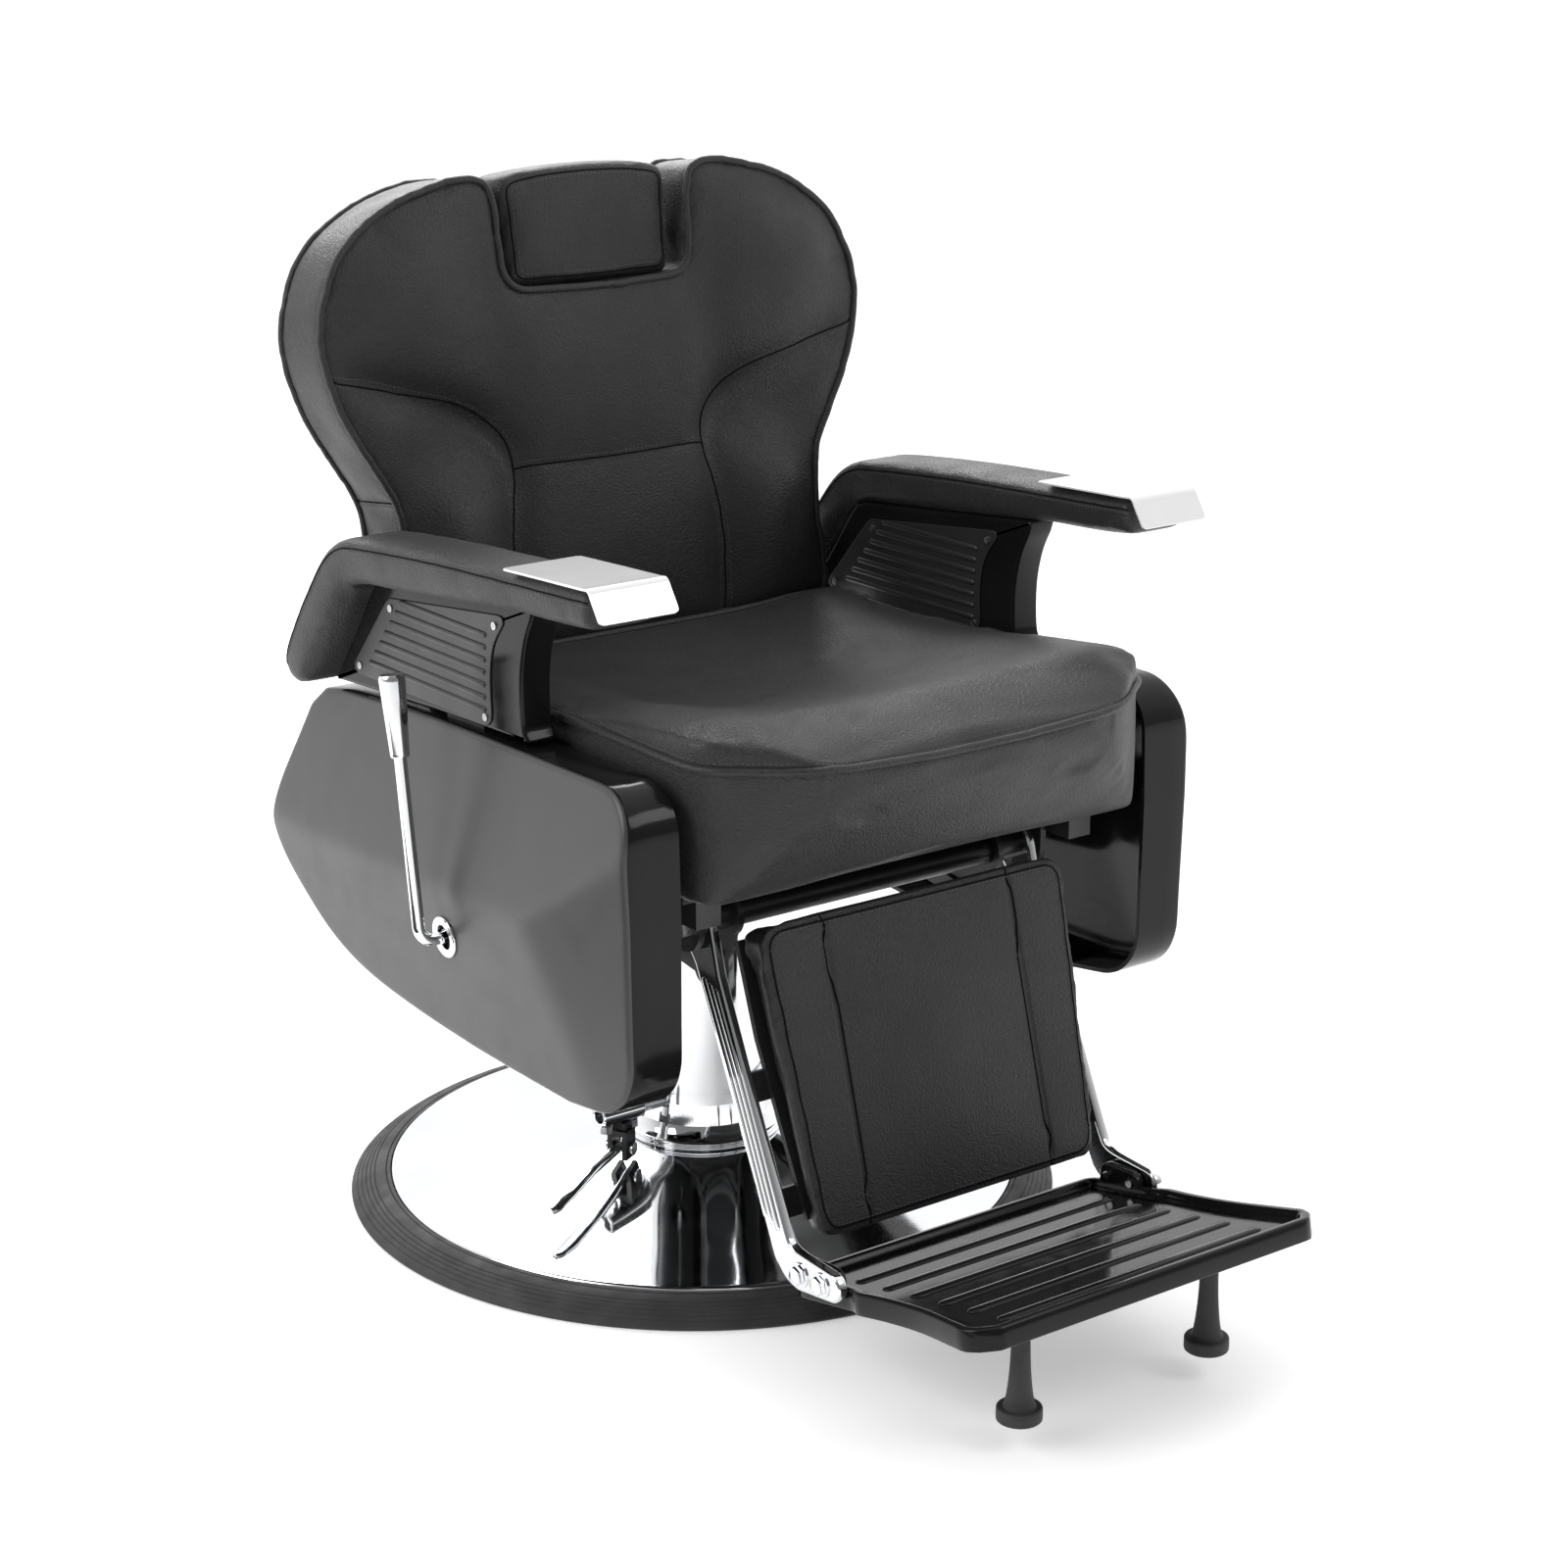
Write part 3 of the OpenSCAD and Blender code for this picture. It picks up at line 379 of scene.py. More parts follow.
def remeshed(obj, voxel, passes=6):
    """The closed mesh rebuilt in even voxels and smoothed a little."""
    grid = obj.modifiers.new("even", "REMESH")
    grid.mode = "VOXEL"
    grid.voxel_size = voxel * MM
    relax = obj.modifiers.new("relax", "SMOOTH")
    relax.factor = 0.5
    relax.iterations = passes
    return applied(obj)


def stuffed(obj, held, pressure, reach):
    """Cloth pressed outwards from inside for twenty frames without gravity. Points where held is true
    stay, and no point ends further than reach from where it began."""
    start = points_of(obj.data)
    group = obj.vertex_groups.new(name="sewn")
    group.add([int(i) for i in np.flatnonzero(held)], 1.0, "REPLACE")
    cloth = obj.modifiers.new("cover", "CLOTH")
    cloth.settings.quality = 4
    cloth.settings.mass = 0.25
    cloth.settings.tension_stiffness = 12
    cloth.settings.compression_stiffness = 12
    cloth.settings.use_pressure = True
    cloth.settings.uniform_pressure_force = pressure
    cloth.settings.effector_weights.gravity = 0
    cloth.settings.vertex_group_mass = "sewn"
    cloth.collision_settings.use_collision = False
    scene = bpy.context.scene
    for number in range(1, 21):
        scene.frame_set(number)
    evaluated = obj.evaluated_get(bpy.context.evaluated_depsgraph_get())
    step = points_of(evaluated.to_mesh()) - start
    evaluated.to_mesh_clear()
    obj.modifiers.clear()
    obj.vertex_groups.clear()
    scene.frame_set(1)
    length = np.linalg.norm(step, axis=1, keepdims=True)
    set_points(obj.data, start + step * np.minimum(1, reach / np.maximum(length, 1e-9)))
    return obj


def upholstered(name, part, material, seams, swell, pressure=4.0, relief=None, groove=1.3):
    """A padded piece: an even mesh of the part, its cover swollen by cloth between the held seams, one
    subdivision, the relief laid on, and the seams drawn in by groove exp(-(distance / 2.2)^2)."""
    obj = made(name, part, material)
    voxel = CUSHION_VOXEL
    remeshed(obj, voxel)
    held = near_distance(points_of(obj.data), seams, 12) < 0.8 * voxel
    stuffed(obj, held, pressure, swell)
    level = obj.modifiers.new("smooth", "SUBSURF")
    level.levels = level.render_levels = 1
    applied(obj)
    if relief is not None:
        set_points(obj.data, relief(points_of(obj.data), normals_of(obj.data)))
    p, n = points_of(obj.data), normals_of(obj.data)
    d = near_distance(p, seams, 12)
    set_points(obj.data, p - n * (groove * np.exp(-(d / 2.2) ** 2))[:, None])
    obj.data.shade_smooth()
    return obj


def surface_tree(obj):
    """Nearest-point tree of an object's mesh."""
    mesh = obj.data
    return BVHTree.FromPolygons([v.co for v in mesh.vertices], [tuple(f.vertices) for f in mesh.polygons])


def laid_on(tree, path, lift):
    """The path's points moved to the nearest surface and lifted off it, with the surface's normals."""
    found = [tree.find_nearest(Vector(q)) for q in np.asarray(path) * MM]
    p = np.array([f[0] for f in found]) / MM
    n = np.array([f[1] for f in found])
    return p + lift * n, n


def even_path(path, passes=3):
    """The path with each inner point moved to the mean of itself and its two neighbours, some times."""
    p = path.copy()
    for _ in range(passes):
        p[1:-1] = (p[:-2] + p[1:-1] + p[2:]) / 3
    return p


def stitches(tree, path, pitch=4.4, length=3.0, radius=0.42):
    """Short threads along a path on a surface: one small closed bar of six sides per stitch, its points
    centre + s length/2 along + radius(s) (cos a side + sin a normal) with s = -1, 0, 1."""
    centres = spaced(path, pitch)
    p, n = laid_on(tree, centres, 0.15)
    p = even_path(p, 1)
    along = np.gradient(p, axis=0)
    along /= np.maximum(np.linalg.norm(along, axis=1, keepdims=True), 1e-9)
    side = np.cross(along, n)
    s = np.array([-1.0, 0.0, 1.0])[None, :, None, None]
    r = radius * np.array([0.5, 1.0, 0.5])[None, :, None, None]
    a = np.linspace(0, 2 * np.pi, 6, endpoint=False)[None, None, :, None]
    ring = np.cos(a) * side[:, None, None] + np.sin(a) * n[:, None, None]
    points = p[:, None, None] + s * length / 2 * along[:, None, None] + r * ring
    one = np.vstack([quads(3, 6, False, True)])
    base = np.arange(len(p)) * 18
    faces = [tuple(f + b) for b in base for f in one]
    faces += [tuple(np.arange(6)[::-1] + b) for b in base] + [tuple(np.arange(12, 18) + b) for b in base]
    return points.reshape(-1, 3), faces


def stitched(name, obj, paths, body):
    """Rows of stitches laid on an upholstered piece."""
    tree = surface_tree(obj)
    rows = joined(*[stitches(tree, path) for path in paths])
    return fitted(made(name, rows, material("thread", thread)), body, "leather")


def seam_shaded(name, obj, paths, body, radius=0.75):
    """Painted shade along an upholstered piece's seams: fine dark tubes half sunk in its surface."""
    tree = surface_tree(obj)
    parts = []
    for path in paths:
        p, _ = laid_on(tree, spaced(path, 4.0), 0.1)
        # dark tubes along the seams: painted shade in the seam grooves
        parts.append(tube(even_path(p, 2), radius, up=(0.13, 0.31, 0.94), sides=8))
    return fitted(made(name, joined(*parts), material("seam_shade", seam_shade), sharp=80), body, "leather")


def piped(name, obj, paths, material, radius=3.0, closed=False, lift=0.8, step=5.0):
    """Round piping laid on an upholstered piece along paths."""
    tree = surface_tree(obj)
    parts = []
    for path in paths:
        p, _ = laid_on(tree, spaced(path, step, closed), lift)
        if not closed:
            p = even_path(p, 2)
        parts.append(tube(p, radius, up=(0.13, 0.31, 0.94), sides=12, closed=closed))
    return made(name, joined(*parts), material, sharp=80)


# ---------- finishes ----------

class Finish:
    """A material under construction: named nodes are added and linked in short calls."""

    def __init__(self, name):
        self.material = bpy.data.materials.new(name)
        self.material.use_nodes = True
        self.tree = self.material.node_tree
        self.shader = self.tree.nodes["Principled BSDF"]
        self.place = self.tree.nodes.new("ShaderNodeTexCoord").outputs["Object"]

    def set(self, **values):
        """Constants on the shader's own sockets; an underscore in a name is a space."""
        for key, value in values.items():
            self.shader.inputs[key.replace("_", " ")].default_value = value
        return self

    def link(self, output, key):
        """An output into one of the shader's sockets."""
        self.tree.links.new(output, self.shader.inputs[key])
        return self

    def stretched(self, scale):
        """Object coordinates with a scale for each axis."""
        node = self.tree.nodes.new("ShaderNodeMapping")
        node.inputs["Scale"].default_value = scale
        self.tree.links.new(self.place, node.inputs["Vector"])
        return node.outputs["Vector"]

    def noise(self, scale, detail=3.0, rough=0.5, place=None):
        """Noise texture; the scale is in cells a metre."""
        node = self.tree.nodes.new("ShaderNodeTexNoise")
        node.inputs["Scale"].default_value = scale
        node.inputs["Detail"].default_value = detail
        node.inputs["Roughness"].default_value = rough
        self.tree.links.new(place or self.place, node.inputs["Vector"])
        return node.outputs["Fac"]

    def cells(self, scale, feature="F1", place=None):
        """Voronoi texture's distance; the scale is in cells a metre."""
        node = self.tree.nodes.new("ShaderNodeTexVoronoi")
        node.feature = feature
        node.inputs["Scale"].default_value = scale
        self.tree.links.new(place or self.place, node.inputs["Vector"])
        return node.outputs["Distance"]

    def warped(self, scale, amount):
        """Object coordinates pushed about by noise."""
        node = self.tree.nodes.new("ShaderNodeTexNoise")
        node.inputs["Scale"].default_value = scale
        self.tree.links.new(self.place, node.inputs["Vector"])
        push = self.tree.nodes.new("ShaderNodeVectorMath")
        push.operation = "MULTIPLY_ADD"
        push.inputs[1].default_value = (amount, amount, amount)
        self.tree.links.new(node.outputs["Color"], push.inputs[0])
        self.tree.links.new(self.place, push.inputs[2])
        return push.outputs["Vector"]

    def ranged(self, value, low, high, start=0.3, stop=0.7):
        """A value from start to stop spread over low to high."""
        node = self.tree.nodes.new("ShaderNodeMapRange")
        for key, number in (("From Min", start), ("From Max", stop), ("To Min", low), ("To Max", high)):
            node.inputs[key].default_value = number
        self.tree.links.new(value, node.inputs["Value"])
        return node.outputs["Result"]

    def blended(self, value, first, second, start=0.3, stop=0.7):
        """A colour between two colours as the value goes from start to stop."""
        node = self.tree.nodes.new("ShaderNodeValToRGB")
        node.color_ramp.elements[0].position = start
        node.color_ramp.elements[0].color = (*first, 1)
        node.color_ramp.elements[1].position = stop
        node.color_ramp.elements[1].color = (*second, 1)
        self.tree.links.new(value, node.inputs["Fac"])
        return node.outputs["Color"]

    def bump(self, height, distance, strength=1.0):
        """Surface relief whose full height is distance metres; a second call goes on top of the first."""
        node = self.tree.nodes.new("ShaderNodeBump")
        node.inputs["Distance"].default_value = distance
        node.inputs["Strength"].default_value = strength
        self.tree.links.new(height, node.inputs["Height"])
        before = self.shader.inputs["Normal"].links
        if before:
            self.tree.links.new(before[0].from_socket, node.inputs["Normal"])
        self.tree.links.new(node.outputs["Normal"], self.shader.inputs["Normal"])
        return self


def grey(value):
    """The same value for red, green and blue."""
    return (value, value, value)


def leatherette(name="black_leatherette", base=0.017, grain=1.0):
    """Coated upholstery cloth: a soft sheen, a pebbled grain of about 1.5 mm and short fine creases."""
    colours = bpy.context.scene.chair_colours
    tone = np.array(colours.upholstery) * base / 0.017
    f = Finish(name)
    f.set(IOR=1.5, Specular_IOR_Level=0.42, Sheen_Weight=0.06, Sheen_Roughness=0.5)
    f.link(f.blended(f.noise(7, 4), tuple(tone * 0.82), tuple(tone * 1.25)), "Base Color")
    f.link(f.ranged(f.noise(22, 4), 0.40, 0.54), "Roughness")
    warped = f.warped(160, 0.0035)
    pebbles = f.cells(620, "SMOOTH_F1", warped)
    creases = f.ranged(f.cells(210, "DISTANCE_TO_EDGE", warped), 0, 1, 0.0, 0.12)
    f.bump(pebbles, 0.0006 * grain, 0.7)
    f.bump(creases, 0.0003 * grain, 0.6)
    f.bump(f.noise(34, 3), 0.0009 * grain, 0.35)
    return f.material


def thread():
    """Twisted black thread, dull, with a fine ripple."""
    f = Finish("black_thread")
    f.set(Specular_IOR_Level=0.4, Sheen_Weight=0.3, Sheen_Roughness=0.5)
    f.link(f.blended(f.noise(900, 2), grey(0.03), grey(0.09)), "Base Color")
    f.link(f.ranged(f.noise(500), 0.45, 0.7), "Roughness")
    return f.material


def seam_shade():
    """Painted shade for the fold where two panels of the cover meet: dull and darker than the cover, standing
    in for the shade in the seam groove.
    """
    f = Finish("painted_seam_shade")
    f.set(Specular_IOR_Level=0.1)
    # painted shade: near-black colour, darker than the cover, for the seam grooves where shade falls
    f.link(f.blended(f.noise(300, 2), grey(0.002), grey(0.005)), "Base Color")
    f.link(f.ranged(f.noise(200), 0.7, 0.9), "Roughness")
    f.bump(f.noise(700, 2), 0.0001)
    return f.material


def chrome(name="polished_chrome", haze=0.045):
    """Bright plating over pressed steel: nearly a mirror, faint ripples and a trace of wiping marks."""
    f = Finish(name)
    f.set(Metallic=1.0)
    f.link(f.blended(f.noise(5, 3), (0.80, 0.81, 0.83), (0.88, 0.89, 0.90)), "Base Color")
    f.link(f.ranged(f.noise(40, 5), haze * 0.7, haze * 1.7), "Roughness")
    f.bump(f.noise(6, 2), 0.0012, 0.25)
    f.bump(f.noise(900, 2, place=f.stretched((1, 0.05, 1))), 0.00002, 0.4)
    return f.material


def cap_plate():
    """Brushed plate of the arm caps whose near-white, mostly diffuse colour is a painted reflection: pale in
    any surroundings.
    """
    f = Finish("cap_plate")
    f.set(Metallic=0.25, Specular_IOR_Level=0.6)
    # painted reflection: a near-white diffuse colour stands in for the chrome's reflection of the white
    # studio
    f.link(f.blended(f.noise(6, 3), (0.84, 0.84, 0.85), (0.91, 0.91, 0.92)), "Base Color")
    f.link(f.ranged(f.noise(60, 3), 0.10, 0.18), "Roughness")
    f.bump(f.noise(900, 2, place=f.stretched((0.05, 1, 1))), 0.00002, 0.5)
    return f.material


def zinc():
    """Plated fasteners and brackets: silvery, slightly mottled and less bright than chrome."""
    f = Finish("zinc_plate")
    f.set(Metallic=1.0)
    f.link(f.blended(f.cells(160), (0.50, 0.51, 0.52), (0.66, 0.67, 0.68), 0.1, 0.8), "Base Color")
    f.link(f.ranged(f.noise(120, 4), 0.22, 0.38), "Roughness")
    f.bump(f.noise(700, 2), 0.00003)
    return f.material


def black_paint():
    """Baked black enamel on steel with a fine orange peel."""
    f = Finish("black_enamel")
    f.set(Specular_IOR_Level=0.5)
    f.link(f.blended(f.noise(18, 3), grey(0.014), grey(0.024)), "Base Color")
    f.link(f.ranged(f.noise(60, 4), 0.3, 0.45), "Roughness")
    f.bump(f.noise(420, 2), 0.00008, 0.5)
    return f.material


def bronze():
    """Oil-filled bronze of the bushes and the thrust washer."""
    f = Finish("bearing_bronze")
    f.set(Metallic=1.0)
    f.link(f.blended(f.noise(300, 3), (0.42, 0.27, 0.10), (0.60, 0.42, 0.18)), "Base Color")
    f.link(f.ranged(f.noise(200), 0.3, 0.45), "Roughness")
    f.bump(f.cells(900), 0.00002)
    return f.material


def rubber():
    """Matt black rubber with a dusty, slightly uneven skin."""
    f = Finish("black_rubber")
    f.set(Specular_IOR_Level=0.35)
    f.link(f.blended(f.noise(24, 5), grey(0.030), grey(0.052)), "Base Color")
    f.link(f.ranged(f.noise(50, 4), 0.55, 0.75), "Roughness")
    f.bump(f.noise(800, 3), 0.00005, 0.6)
    return f.material


def satin_plastic(name, tone, rough=0.42, texture=0.00006):
    """Moulded plastic with a fine spark-eroded texture."""
    f = Finish(name)
    f.set(Specular_IOR_Level=0.5, IOR=1.5)
    f.link(f.blended(f.noise(4, 3), grey(tone * 0.94), grey(tone * 1.07)), "Base Color")
    f.link(f.ranged(f.noise(30, 4), rough - 0.04, rough + 0.05), "Roughness")
    f.bump(f.noise(1500, 2), texture, 0.5)
    return f.material


def gloss_plastic(name="gloss_black", tone=0.008):
    """Polished black moulding: a clear reflection, with slight waves from cooling."""
    f = Finish(name)
    f.set(Specular_IOR_Level=0.2)
    f.link(f.blended(f.noise(9, 2), grey(tone * 0.8), grey(tone * 1.3)), "Base Color")
    f.link(f.ranged(f.noise(70, 5), 0.09, 0.16), "Roughness")
    f.bump(f.noise(14, 2), 0.0006, 0.2)
    return f.material


# ---------- sizes and colours a user would change ----------

class ChairColours(bpy.types.PropertyGroup):
    """Colours of the chair's finishes."""

    upholstery: bpy.props.FloatVectorProperty(
        name="Upholstery", description="Colour of the leatherette", subtype="COLOR",
        default=(0.017, 0.017, 0.0175), min=0, max=1)
    panel_tone: bpy.props.FloatProperty(
        name="Panel tone", description="Grey of the moulded side panels", subtype="FACTOR",
        default=0.040, min=0, max=1)
    insert_tone: bpy.props.FloatProperty(
        name="Insert tone", description="Grey of the ribbed arm inserts", subtype="FACTOR",
        default=0.022, min=0, max=1)


class ChairSizes(bpy.types.PropertyGroup):
    """Sizes of the chair's visible trim, apart from those that the frame gives."""

    piping: bpy.props.FloatProperty(
        name="Piping", description="Radius of the piping on the seat and the back",
        default=0.0035, min=0.001, max=0.006, subtype="DISTANCE", unit="LENGTH")
    swell: bpy.props.FloatProperty(
        name="Swell", description="How far a cushion's cover may swell between its seams",
        default=0.007, min=0.002, max=0.02, subtype="DISTANCE", unit="LENGTH")
    panel_peak: bpy.props.FloatProperty(
        name="Panel peak", description="Height of the pyramid on the side panels over their rim",
        default=0.0135, min=0.005, max=0.014, subtype="DISTANCE", unit="LENGTH")


MATERIALS = {}


def material(name, build):
    """A finish made once and shared by the pieces that have it."""
    if name not in MATERIALS:
        MATERIALS[name] = build()
    return MATERIALS[name]


def leather():
    return material("leather", leatherette)


def bright():
    return material("chrome", chrome)


def gloss():
    return material("gloss", gloss_plastic)


# ---------- the back, the headrest, the seat ----------

def back_half(w=0.0):
    """Right half of the back's outline in its own (x, z), drawn in by w."""
    h = HALF - 240 - w
    side = [[233 + h, 523 + w], [236 + h, 552], [231 + h, 600], [236 + h, 664], [257 + h, 705],
            [281 + h, 750], [296 + h, 805], [291 + h, 850], [266 + h, 897 - w / 2], [216 + h, 932 - w],
            [165 + h, 948 - w], [129 + h, 951 - w], [112 + w, 946 - w], [104 + w, 930 - w], [99 + w, 868 - w],
            [93 + w, 853 - w], [80 + w, 848 - w]]
    return np.vstack([[[216 + h, 516 + w]], smooth_curve(side, 5), [[0, 845 - w]]])


def side_seam(side):
    """Seam from the back's edge, round the shoulder and down to the seat, in the back's (x, z)."""
    p = smooth_curve([[297, 786], [261, 778], [219, 763], [171, 745], [141, 729], [122, 712], [112, 695],
                      [110, 674], [112, 650], [115, 620], [116, 584], [115, 540], [113, 512]], 4)
    return p * [side, 1]


def back_face(path, depth=0.0):
    """(x, z) points on the back's front plane, in the chair's frame."""
    p = np.asarray(path, float)
    return on_back(np.stack([p[:, 0], np.full(len(p), depth), p[:, 1]], -1))


def waist_seam(height):
    """Straight seam across the lumbar panel."""
    return np.array([[-110, height], [-60, height - 1], [0, height - 1.5], [60, height - 1],
                     [110, height]], float)


def back_relief(p, n):
    """Puffed panels on the front of the back: each point of the front face moves forwards by the sum of a
    crown of the middle panel, side bolsters and shoulder wings, less a valley along the side seams."""
    q = off_back(p)
    x, z = np.abs(q[:, 0]), q[:, 2]
    front = np.clip((18 - q[:, 1]) / 16, 0, 1)
    seams = distance_to(np.stack([x, z], -1), [side_seam(1)])
    edge = distance_to(np.stack([x, z], -1), [back_half()])
    crown = 7 * np.exp(-(x / 95) ** 2) * np.exp(-((z - 620) / 130) ** 2)
    bolster = 14 * np.exp(-((x - 172) / 36) ** 2) * np.exp(-((z - 615) / 75) ** 2)
    wing = 13 * np.exp(-((x - 205) / 60) ** 2 - ((z - 858) / 58) ** 2)
    pinch = 15 * np.exp(-((x - 150) / 62) ** 2 - ((z - 715) / 48) ** 2)
    valley = 7 * np.exp(-(seams / 20) ** 2) + 5 * np.exp(-((x - 118) / 26) ** 2 - ((z - 800) / 70) ** 2)
    rise = (crown + bolster + wing - pinch - valley) * (1 - np.exp(-(edge / 26) ** 2)) * front
    q[:, 1] -= rise
    return on_back(q)


def double(path, gap, flip=1):
    """A second row beside a flat path: moved by gap along the path's normal."""
    along = np.gradient(path, axis=0)
    along /= np.linalg.norm(along, axis=1, keepdims=True)
    return path + flip * gap * np.stack([-along[:, 1], along[:, 0]], -1)


class CHAIR_OT_back(bpy.types.Operator):
    """Upholstered back: front, side band and rear sewn round one body, with piping and top stitching"""

    bl_idname = "chair.back"
    bl_label = "Back"

    def execute(self, context):
        sizes = context.scene.chair_sizes
        outline = spaced(mirrored(back_half(1.0)), 5, True)
        points, faces = prism(outline, 0.5, BACK_T - 1, 6.0, "y")
        seams = [side_seam(1), side_seam(-1), waist_seam(688)]
        faced = [back_face(s, 0) for s in seams]
        rim_front = back_face(np.vstack([spaced(mirrored(back_half(0.5)), 5, True)]), 0.5)
        rim_rear = back_face(np.vstack([spaced(mirrored(back_half(0.5)), 5, True)]), BACK_T - 1)
        band = [on_back([[s * (HALF - 3), y, 668 + 1.5] for y in np.linspace(2, BACK_T - 2, 8)])
                for s in (-1, 1)]
        closed = [np.vstack([r, r[:1]]) for r in (rim_front, rim_rear)]
        obj = upholstered("back_upholstery", (on_back(points), faces), leather(), faced + band + closed,
                          sizes.swell / MM * 0.7, relief=back_relief)
        fitted(obj, "back", "leather", "back_cushion", "back_board", "back_rear_pad")
        radius = sizes.piping / MM
        piping = piped("back_piping", obj, [rim_front, rim_rear], leather(), radius, closed=True, lift=1.7)
        fitted(piping, "back", "leather")
        rows = []
        for side in (-1, 1):
            rows += [double(side_seam(side), 3.4), double(side_seam(side), -3.4)]
        rows += [waist_seam(691.5), waist_seam(680.5)]
        on_band = [on_back([[s * (HALF - 3), y, z] for y in np.linspace(7, BACK_T - 7, 12)])
                   for s in (-1, 1) for z in (666, 673)]
        stitched("back_stitches", obj, [back_face(r, -4) for r in rows] + on_band, "back")
        # painted shade along the back's seams
        seam_shaded("back_seam_shade", obj, [back_face(r, -4) for r in seams] + band, "back")
        return {"FINISHED"}


def headrest_half(w=0.0):
    """Right half of the headrest's outline in the back's (x, z), drawn in by w."""
    return np.vstack([arc([79 - w, 857 + w], 9, -90, 0, 4), [[91 - w, 930 - w]],
                      arc([82 - w, 939 - w], 9, 10, 80, 4),
                      smooth_curve([[70, 950 - w], [36, 953 - w], [0, 954 - w]])])


class CHAIR_OT_headrest(bpy.types.Operator):
    """Headrest pad that slides in the back's notch"""

    bl_idname = "chair.headrest"
    bl_label = "Headrest"

    def execute(self, context):
        sizes = context.scene.chair_sizes
        outline = spaced(mirrored(headrest_half(-1.5)), 4, True)
        points, faces = prism(outline, 11, BACK_T - 5, 8, "y")
        depth = points[:, 1]
        points[:, 1] = np.where(depth < 30, depth + 3.5 * (points[:, 0] / 90) ** 2, depth)
        edge = back_face(spaced(mirrored(headrest_half(5)), 4, True), 9.5)
        rear = back_face(spaced(mirrored(headrest_half(2)), 4, True), BACK_T - 7)
        seams = [np.vstack([edge, edge[:1]]), np.vstack([rear, rear[:1]])]
        obj = upholstered("headrest_pad", (on_back(points), faces), leather(), seams,
                          sizes.swell / MM, groove=1.0)
        fitted(obj, "headrest", "leather", "headrest_cushion")
        row = back_face(spaced(mirrored(headrest_half(9)), 4, True), 6)
        stitched("headrest_stitches", obj, [row], "headrest")
        # painted shade along the headrest's border seam
        seam_shaded("headrest_seam_shade", obj, seams[:1], "headrest")
        return {"FINISHED"}


def seat_plan(w=0.0):
    """Right half of the seat's top edge in plan (x, y), from the rear to the front, drawn in by w."""
    h = HALF - w
    rear = SEAT_HIGH[1] - w
    return smooth_curve([[h, rear - 12], [h, -200], [h, -322], [h - 32, -362 + w], [h - 80, -396 + w],
                         [h - 140, -406 + w], [0, -409 + w]], 6)


def seat_relief(p, n):
    """The top rises from its piping to a roll at the front and along the sides, and dips to a bowl in the
    middle:
    on the top, z gains roll - bowl, with roll 6 exp(-((y + 325)/50)^2) + 5 exp(-((|x| - 185)/40)^2) and bowl
    17 exp(-(x/165)^4 - ((y + 85)/185)^4)."""
    top = np.clip((p[:, 2] - (FRAME_Z + 138)) / 10, 0, 1)
    x, y = np.abs(p[:, 0]), p[:, 1]
    roll = 6 * np.exp(-((y + 325) / 50) ** 2) + 5 * np.exp(-((x - 185) / 40) ** 2)
    bowl = 17 * np.exp(-(x / 165) ** 4 - ((y + 85) / 185) ** 4)
    q = p.copy()
    q[:, 2] += top * (roll - bowl)
    return q


class CHAIR_OT_seat(bpy.types.Operator):
    """Seat cushion with a piped top edge, a roll at the front and a hollow where one sits"""

    bl_idname = "chair.seat"
    bl_label = "Seat"

    def execute(self, context):
        sizes = context.scene.chair_sizes
        cad = frame["nodes"]["seat_cushion"].data
        source = bmesh.new()
        source.from_mesh(cad)
        bmesh.ops.remove_doubles(source, verts=source.verts, dist=1e-5)
        points = np.array([v.co for v in source.verts]) / MM
        faces = [tuple(v.index for v in f.verts) for f in source.faces]
        source.free()
        middle = (points.min(0) + points.max(0)) / 2
        points = middle + (points - middle) * [0.985, 0.99, 0.97]
        edge_z = FRAME_Z + 149.5
        half = seat_plan(1.5)
        ring = np.vstack([half, (half * [-1, 1])[::-1]])
        edge = np.column_stack([ring, np.full(len(ring), edge_z)])
        rear = np.array([[x, SEAT_HIGH[1] - 1.5, edge_z] for x in np.linspace(-HALF + 12, HALF - 12, 40)])
        hem = np.column_stack([np.vstack([half, (half * [-1, 1])[::-1]]) * [0.985, 0.86],
                               np.full(len(ring), SEAT_LOW[2])])
        obj = upholstered("seat_upholstery", (points, faces), leather(), [edge, rear, hem],
                          sizes.swell / MM * 0.3, pressure=2.0, relief=seat_relief, groove=1.6)
        fitted(obj, "seat", "leather", "seat_cushion")
        loop = np.vstack([edge, rear[::1]])
        piping = piped("seat_piping", obj, [loop], leather(), sizes.piping / MM, closed=True, lift=1.4)
        fitted(piping, "seat", "leather")
        inner = np.column_stack([ring * [0.975, 0.985], np.full(len(ring), edge_z + 6)])
        stitched("seat_stitches", obj, [inner], "seat")
        return {"FINISHED"}


# ---------- arms ----------

def pad_under():
    """Underside of an arm pad in (y, z), from the foot of its rear leg to its front."""
    f = FRAME_Z
    return np.array([[172, f + 122], [126, f + 183], [102, f + 217], [92, f + 228], [80, f + 232],
                     [-59, f + 246], [-187, f + 259.5], [-306, f + 266]])


def pad_top():
    """Top of an arm pad in (y, z), from its front to the foot of its rear leg."""
    f = FRAME_Z
    return smooth_curve([[-301, f + 301], [-180, f + 295], [-60, f + 288], [60, f + 277], [100, f + 270],
                         [130, f + 252], [156, f + 223], [182, f + 190], [208, f + 150], [208, f + 130],
                         [196, f + 118], [184, f + 116]], 5)


